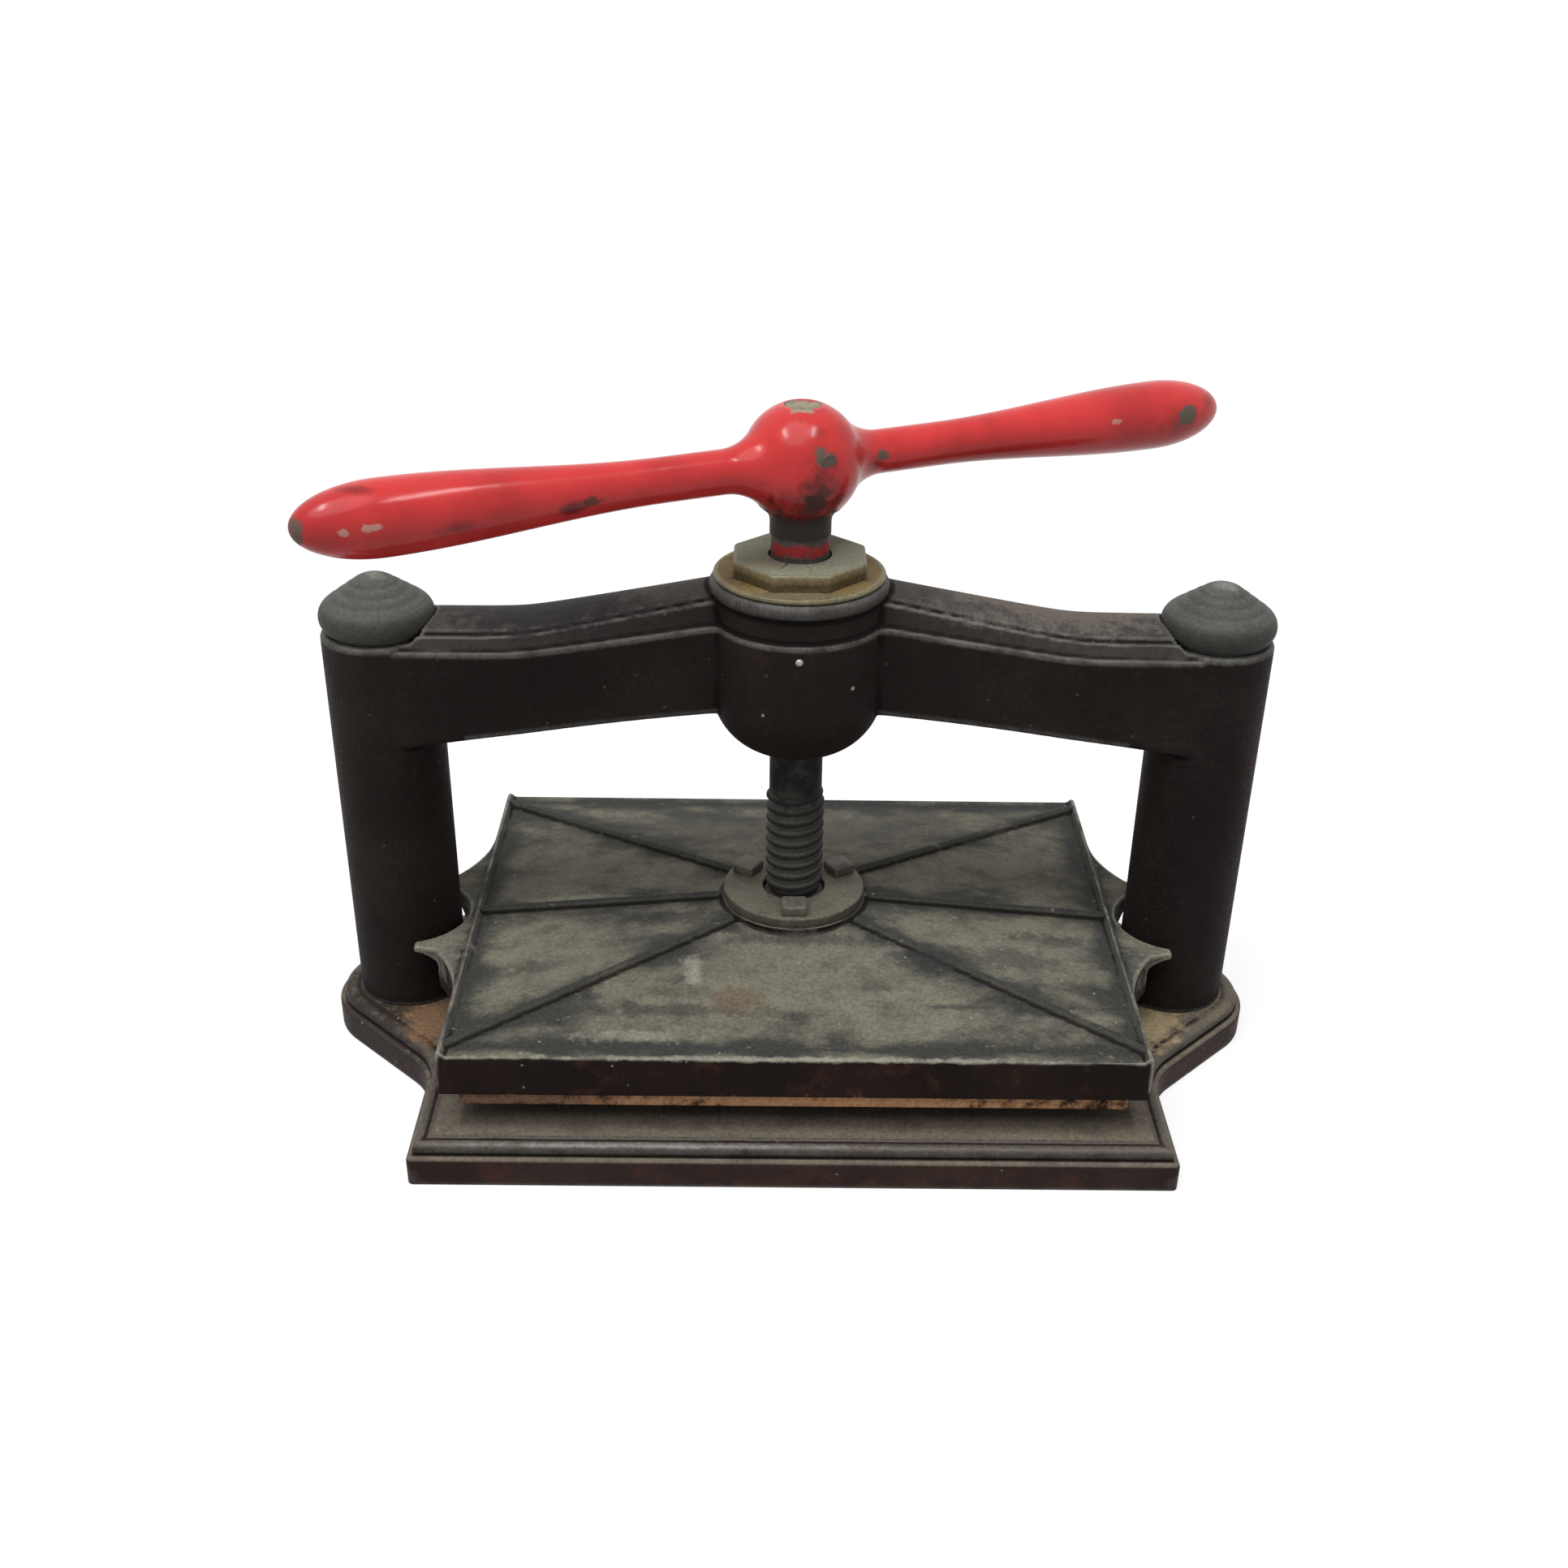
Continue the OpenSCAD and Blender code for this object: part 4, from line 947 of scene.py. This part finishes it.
head_profile = np.array((
    (0, nut_high.z), (screw_ring_r, nut_high.z), (screw_ring_r, nut_high.z + 2 * past),
    (screw_ring_r, hub_foot_z - past), (screw_ring_r, hub_foot_z), (spigot_r, hub_foot_z),
    (spigot_r, screw_high.z - spigot_edge), (spigot_r - 2 * spigot_edge, screw_high.z), (0, screw_high.z),
))
neck = cylinder("neck", screw_neck_r, neck_z, top_run_z)
screw = join(lower_run, upper_run, revolve("shaft", shaft_profile), neck, revolve("head", head_profile))
screw.name = "screw"
settle(screw, sharp=50)
rub(screw, tight_r=1.2 * mm, spread=0)
dress(screw, screw_steel, "screw", "screw_steel", "lead_screw")

# Keeper ring
# An iron ring holds the screw's collar in the platen, with three square-headed bolts.
# It is brown-grey with dust, darker round its foot and the heads.
ring_r = ring_high.x
ring_hole_r = 18 * mm
ring_edge_r = 1.4 * mm
bolt_ring_r = 31.5 * mm
bolt_head_w = 14 * mm
bolt_head_h = 6 * mm
bolt_edge_w = 1.1 * mm
bolt_r = 3.5 * mm
bolt_l = 18 * mm
ring_profile = np.concatenate((
    [(ring_hole_r, ring_low.z), (ring_r, ring_low.z)],
    arc((ring_r - ring_edge_r, ring_high.z - ring_edge_r), ring_edge_r, ring_edge_r, 0, 90, 5),
    arc((ring_hole_r + ring_edge_r, ring_high.z - ring_edge_r), ring_edge_r, ring_edge_r, 90, 180, 5),
))
ring = revolve("ring", ring_profile, count=128)
settle(ring, sharp=50)
rub(ring, tight_r=2 * mm, spread=0)
ring_iron = weathered(
    "ring_iron", paint=(0.040, 0.034, 0.027), worn_paint=(0.058, 0.049, 0.038), dust=(0.150, 0.132, 0.096),
    rust=(0.105, 0.070, 0.048), bare=(0.17, 0.155, 0.125), dusting=0.95, rusting=0.2, rubbed=0.5,
)
dress(ring, ring_iron, "platen", "worn_iron", "keeper_ring")


def bolt_tree():
    """Geometry nodes that set a bolt on each of the ring's three places, turned to the middle."""
    tree, given = sized_tree("bolts", Bolt="Object", Ring_radius="Float", Height="Float", Material="Material")
    circle = add(tree, "GeometryNodeMeshCircle", None, Vertices=3, Radius=given["Ring radius"]).outputs[0]
    raised = node(tree, "CombineXYZ", None, Z=given["Height"]).outputs[0]
    to_front = (0, 0, math.radians(-90))
    spots = add(tree, "GeometryNodeTransform", None, Geometry=circle, Translation=raised, Rotation=to_front)
    outwards = add(tree, "GeometryNodeInputPosition").outputs[0]
    about_z = {"axis": "X", "pivot_axis": "Z"}
    facing = add(tree, "FunctionNodeAlignRotationToVector", about_z, Vector=outwards)
    source = add(tree, "GeometryNodeObjectInfo", None, Object=given["Bolt"])
    set_on = add(
        tree, "GeometryNodeInstanceOnPoints", None, Points=spots.outputs[0],
        Instance=source.outputs["Geometry"], Rotation=facing.outputs[0],
    )
    return close_tree(tree, set_on.outputs[0], given["Material"])


half_head = bolt_head_w / 2
bolt = block("bolt", (-half_head, -half_head, 0), (half_head, half_head, bolt_head_h))
edges = bolt.modifiers.new("edges", "BEVEL")
edges.width = bolt_edge_w
edges.segments = 3
settle(bolt)
combine(bolt, cylinder("shank", bolt_r, -bolt_l, past, count=32), "UNION")
bolt_iron = weathered(
    "bolt_iron", paint=(0.035, 0.030, 0.027), worn_paint=(0.050, 0.042, 0.037), dust=(0.095, 0.083, 0.065),
    rust=(0.095, 0.055, 0.037), bare=(0.18, 0.165, 0.14), dusting=0.7, rusting=0.25, rubbed=0.7, cast=0.6,
)
bolt_sizes = {"Bolt": bolt, "Ring radius": bolt_ring_r, "Height": ring_high.z, "Material": bolt_iron}
bolts = grown("ring_bolts", bolt_tree(), bolt_sizes, sharp=40)
bpy.data.objects.remove(bolt)
rub(bolts, tight_r=1.5 * mm, spread=0)
dress(bolts, bolt_iron, "platen", "steel", "keeper_bolt_front", "keeper_bolt_right", "keeper_bolt_left")

# Handle
# A cast iron two-ended bar with a ball hub, driven onto the screw's end and pinned through.
# It is glossy red enamel, chipped on the hub and the grips, smeared dark, and bare on its neck.
# Painted shade darkens the lower hub and a crease on it, and pale glints among the chipped spots are painted
# highlights.
handle_turn = math.radians(26)
handle_half_l = 267 * mm
hub_lift = 38 * mm
handle_z = hub_foot_z + hub_lift
hub_r = 31.75 * mm
hub_neck_r = 16.5 * mm
hub_hollow_r = 8 * mm
hub_fillet_r = 30 * mm
arm_r = 11.5 * mm
arm_waist_x = 78 * mm
grip_r = 18.8 * mm
grip_end_l = 44 * mm
grip_x = handle_half_l - grip_end_l
fillet_y = arm_r + hub_fillet_r
fillet_at = np.array((fillet_y, math.sqrt((hub_r + hub_fillet_r) ** 2 - fillet_y ** 2)))
out_turn = heading((0, 0), fillet_at)
swell = np.linspace(0, 1, 60)
swell_r = arm_r + (grip_r - arm_r) / 2 * (1 - np.cos(math.pi * swell))
half_bar = np.concatenate((
    arc((0, 0), hub_r, hub_r, 0, out_turn, 24),
    arc(fillet_at, hub_fillet_r, hub_fillet_r, 180 + out_turn, 180, 20)[1:],
    np.column_stack((swell_r, arm_waist_x + (grip_x - arm_waist_x) * swell)),
    arc((0, grip_x), grip_r, grip_end_l, 0, 90, 24)[1:],
))
bar_profile = np.concatenate((half_bar[::-1] * (1, -1), half_bar[1:]))
handle = revolve("handle_bar", bar_profile)
handle.data.transform(Matrix.Rotation(math.radians(90), 4, "Y"))
handle.data.transform(Matrix.Rotation(handle_turn, 4, "Z"))
hub_hollow_x = hub_neck_r + hub_hollow_r
hub_hollow_at = (hub_hollow_x, -math.sqrt((hub_r + hub_hollow_r) ** 2 - hub_hollow_x ** 2))
neck_turn = heading((0, 0), hub_hollow_at)
neck_root = 0.8 * hub_r * np.array((math.cos(math.radians(neck_turn)), math.sin(math.radians(neck_turn))))
hub_neck_profile = np.concatenate((
    [(0, hub_foot_z - handle_z), (hub_neck_r, hub_foot_z - handle_z)],
    arc(hub_hollow_at, hub_hollow_r, hub_hollow_r, 180, 180 + neck_turn, 12),
    [neck_root, (0, neck_root[1])],
))
combine(handle, revolve("hub_neck", hub_neck_profile), "UNION")
handle.data.transform(Matrix.Translation((0, 0, handle_z)))
hub_bore_r = spigot_r + fit_gap
hub_bore_profile = np.array((
    (0, hub_foot_z - past), (hub_bore_r, hub_foot_z - past), (hub_bore_r, handle_high.z),
    (hub_r, handle_high.z), (hub_r, handle_high.z + hub_r), (0, handle_high.z + hub_r),
))
combine(handle, revolve("hub_bore", hub_bore_profile), "DIFFERENCE")
settle(handle, sharp=60)


def chipped_enamel(name, red, deep_red, iron, smears_and_shade, chips_and_light):
    """Glossy brushed enamel that is smeared with old grease and chipped down to dark iron; its marks also
    carry painted shade and painted highlights.
    """
    material, tree, shader, where = finish(name)
    broad = cloud(tree, where, size=40 * mm, detail=4.0, rough=0.6)
    fine = cloud(tree, where, size=2.5 * mm, detail=3.0, rough=0.6)
    colour = tint(tree, ramp(tree, broad, 0.35, 0.7), (*red, 1), (*deep_red, 1))
    flecks = ramp(tree, cloud(tree, where, 5 * mm, 6.0, 0.7), 0.68, 0.71)
    colour = tint(tree, flecks, colour, (*iron, 1))
    colour = marked(tree, where, colour, smears_and_shade, ragged=1.6, soft=0.9)[0]
    # chipped also covers the soot, painted shade and painted glints among the marks.
    colour, chipped = marked(tree, where, colour, chips_and_light, ragged=3.4, soft=0.4)
    bare = sums(tree, "MAXIMUM", chipped, flecks)
    dull = ramp(tree, bare, 0.1, 0.6, 0.19, 0.62)
    shader.inputs["Specular IOR Level"].default_value = 0.22
    waves = sums(tree, "MULTIPLY", cloud(tree, where, 9 * mm, 2.0, 0.5), 0.8)
    thick = sums(tree, "SUBTRACT", waves, sums(tree, "MULTIPLY", bare, 0.5))
    thick = sums(tree, "ADD", thick, sums(tree, "MULTIPLY", fine, sums(tree, "MULTIPLY", bare, 0.3)))
    bump = node(tree, "Bump", None, Height=thick, Strength=0.3, Distance=0.4 * mm).outputs[0]
    lay_on(tree, shader, Base_Color=colour, Roughness=dull, Normal=bump)
    return material


bare_iron = (0.055, 0.046, 0.036)
chip_grey = (0.105, 0.088, 0.068)
pale_chip_and_glint = (0.50, 0.34, 0.29)
dark_red = (0.105, 0.012, 0.012)
soot_and_shade = (0.030, 0.022, 0.019)
handle_smears_and_shade = [
    # Dark grease and painted shade on the lower front of the hub.
    ((4, -24, 320), (44, 40, 30), dark_red, 1.0),
    ((10, -29, 340), (15, 14, 30), dark_red, 0.95),
    # Painted shade for a crease at the left of the hub.
    ((-16, -26, 332), (2.6, 8, 14), dark_red, 0.9),
    ((9, -22, 369), (7, 6, 6), dark_red, 0.35),
    ((38, 4, 345), (10, 8, 7), dark_red, 0.5),
    ((217, 86, 348), (24, 14, 12), dark_red, 0.6),
    ((233, 102, 355), (9, 9, 8), dark_red, 0.6),
    ((-112, -70, 343.5), (36, 8, 5), dark_red, 0.9),
    ((-165, -99, 343), (40, 8, 5), dark_red, 0.6),
    ((-208, -108, 364), (14, 5, 3), dark_red, 0.6),
]
handle_chips_and_light = [
    ((-1, -10, 377), (8, 5, 4), (0.30, 0.26, 0.18), 0.9),
    # Soot on the bare neck, with painted shade under the hub.
    ((0, 0, 309), (90, 90, 20), soot_and_shade, 1.0),
    ((9, -26, 328), (9, 10, 13), soot_and_shade, 0.75),
    ((11, -28, 357), (7, 6, 6), chip_grey, 1.0),
    ((43, 8, 349), (6, 4, 3), chip_grey, 0.9),
    ((219, 87, 350), (10, 8, 7), chip_grey, 1.0),
    ((-102, -64, 345), (8, 4, 2.6), bare_iron, 0.8),
    ((-236, -120, 347), (4, 7, 8), chip_grey, 0.9),
    # Pale flecks, partly flaking paint and partly painted glints.
    ((-200, -118, 349), (7, 3, 2.2), pale_chip_and_glint, 0.7),
    ((-213, -122, 348), (2.4, 2, 1.8), pale_chip_and_glint, 0.7),
    ((175, 67, 352), (6, 3, 2), pale_chip_and_glint, 0.6),
]
red = (0.60, 0.037, 0.037)
deep_red = (0.46, 0.027, 0.027)
red_enamel = chipped_enamel("red_enamel", red, deep_red, bare_iron, handle_smears_and_shade, handle_chips_and_light)
dress(handle, red_enamel, "screw", "red_enamel", "handle")
coat("handle_pin", red_enamel)

# Floor and light
# A white floor that keeps the shadow, a pale sky and one broad lamp overhead, with two ceiling tubes whose
# reflections show on the enamel.
floor_half = 15.0
floor = piece(
    "floor", [(-floor_half, -floor_half, 0), (floor_half, -floor_half, 0), (floor_half, floor_half, 0),
              (-floor_half, floor_half, 0)], [(0, 1, 2, 3)]
)


def seen(tree):
    """1 for the rays that show the background: straight, mirrored or through glass; otherwise 0."""
    path = node(tree, "LightPath").outputs
    mirrored = sums(tree, "MAXIMUM", path["Is Glossy Ray"], path["Is Transmission Ray"])
    return sums(tree, "MAXIMUM", path["Is Camera Ray"], mirrored)


floor_white = bpy.data.materials.new("floor_white")
floor_white.use_nodes = True
floor_tree = floor_white.node_tree
matt = node(floor_tree, "BsdfDiffuse", None, Color=(0.45, 0.45, 0.45, 1))
glow_share = ramp(floor_tree, seen(floor_tree), 0, 1, 0, 0.62)
glow = node(floor_tree, "Emission", None, Color=(1, 1, 1, 1), Strength=glow_share)
both = node(floor_tree, "AddShader", None, s0=matt.outputs[0], s1=glow.outputs[0])
floor_tree.links.new(both.outputs[0], floor_tree.nodes["Material Output"].inputs["Surface"])
floor.data.materials.append(floor_white)

sky = bpy.data.worlds.new("sky")
sky.use_nodes = True
sky_light = sky.node_tree.nodes["Background"]
sky_light.inputs["Color"].default_value = (1, 1, 1, 1)
sky_strength = ramp(sky.node_tree, seen(sky.node_tree), 0, 1, 0.35, 1.0)
sky.node_tree.links.new(sky_strength, sky_light.inputs["Strength"])
bpy.context.scene.world = sky
bpy.context.scene.view_settings.view_transform = "Standard"

sun = bpy.data.objects.new("broad_lamp", bpy.data.lights.new("broad_lamp", "SUN"))
sun.data.energy = 1.7
sun.data.angle = math.radians(50)
sun.matrix_world = Matrix.Rotation(math.radians(-12), 4, "Y") @ Matrix.Rotation(math.radians(18), 4, "X")
bpy.context.scene.collection.objects.link(sun)
for name, spot in (("left_tube", (-0.75, -0.35, 1.7)), ("right_tube", (0.45, -0.35, 1.7))):
    tube = bpy.data.objects.new(name, bpy.data.lights.new(name, "AREA"))
    tube.data.shape = "RECTANGLE"
    tube.data.size = 0.12
    tube.data.size_y = 0.5
    tube.data.energy = 6
    tube.matrix_world = Matrix.Translation(spot)
    bpy.context.scene.collection.objects.link(tube)
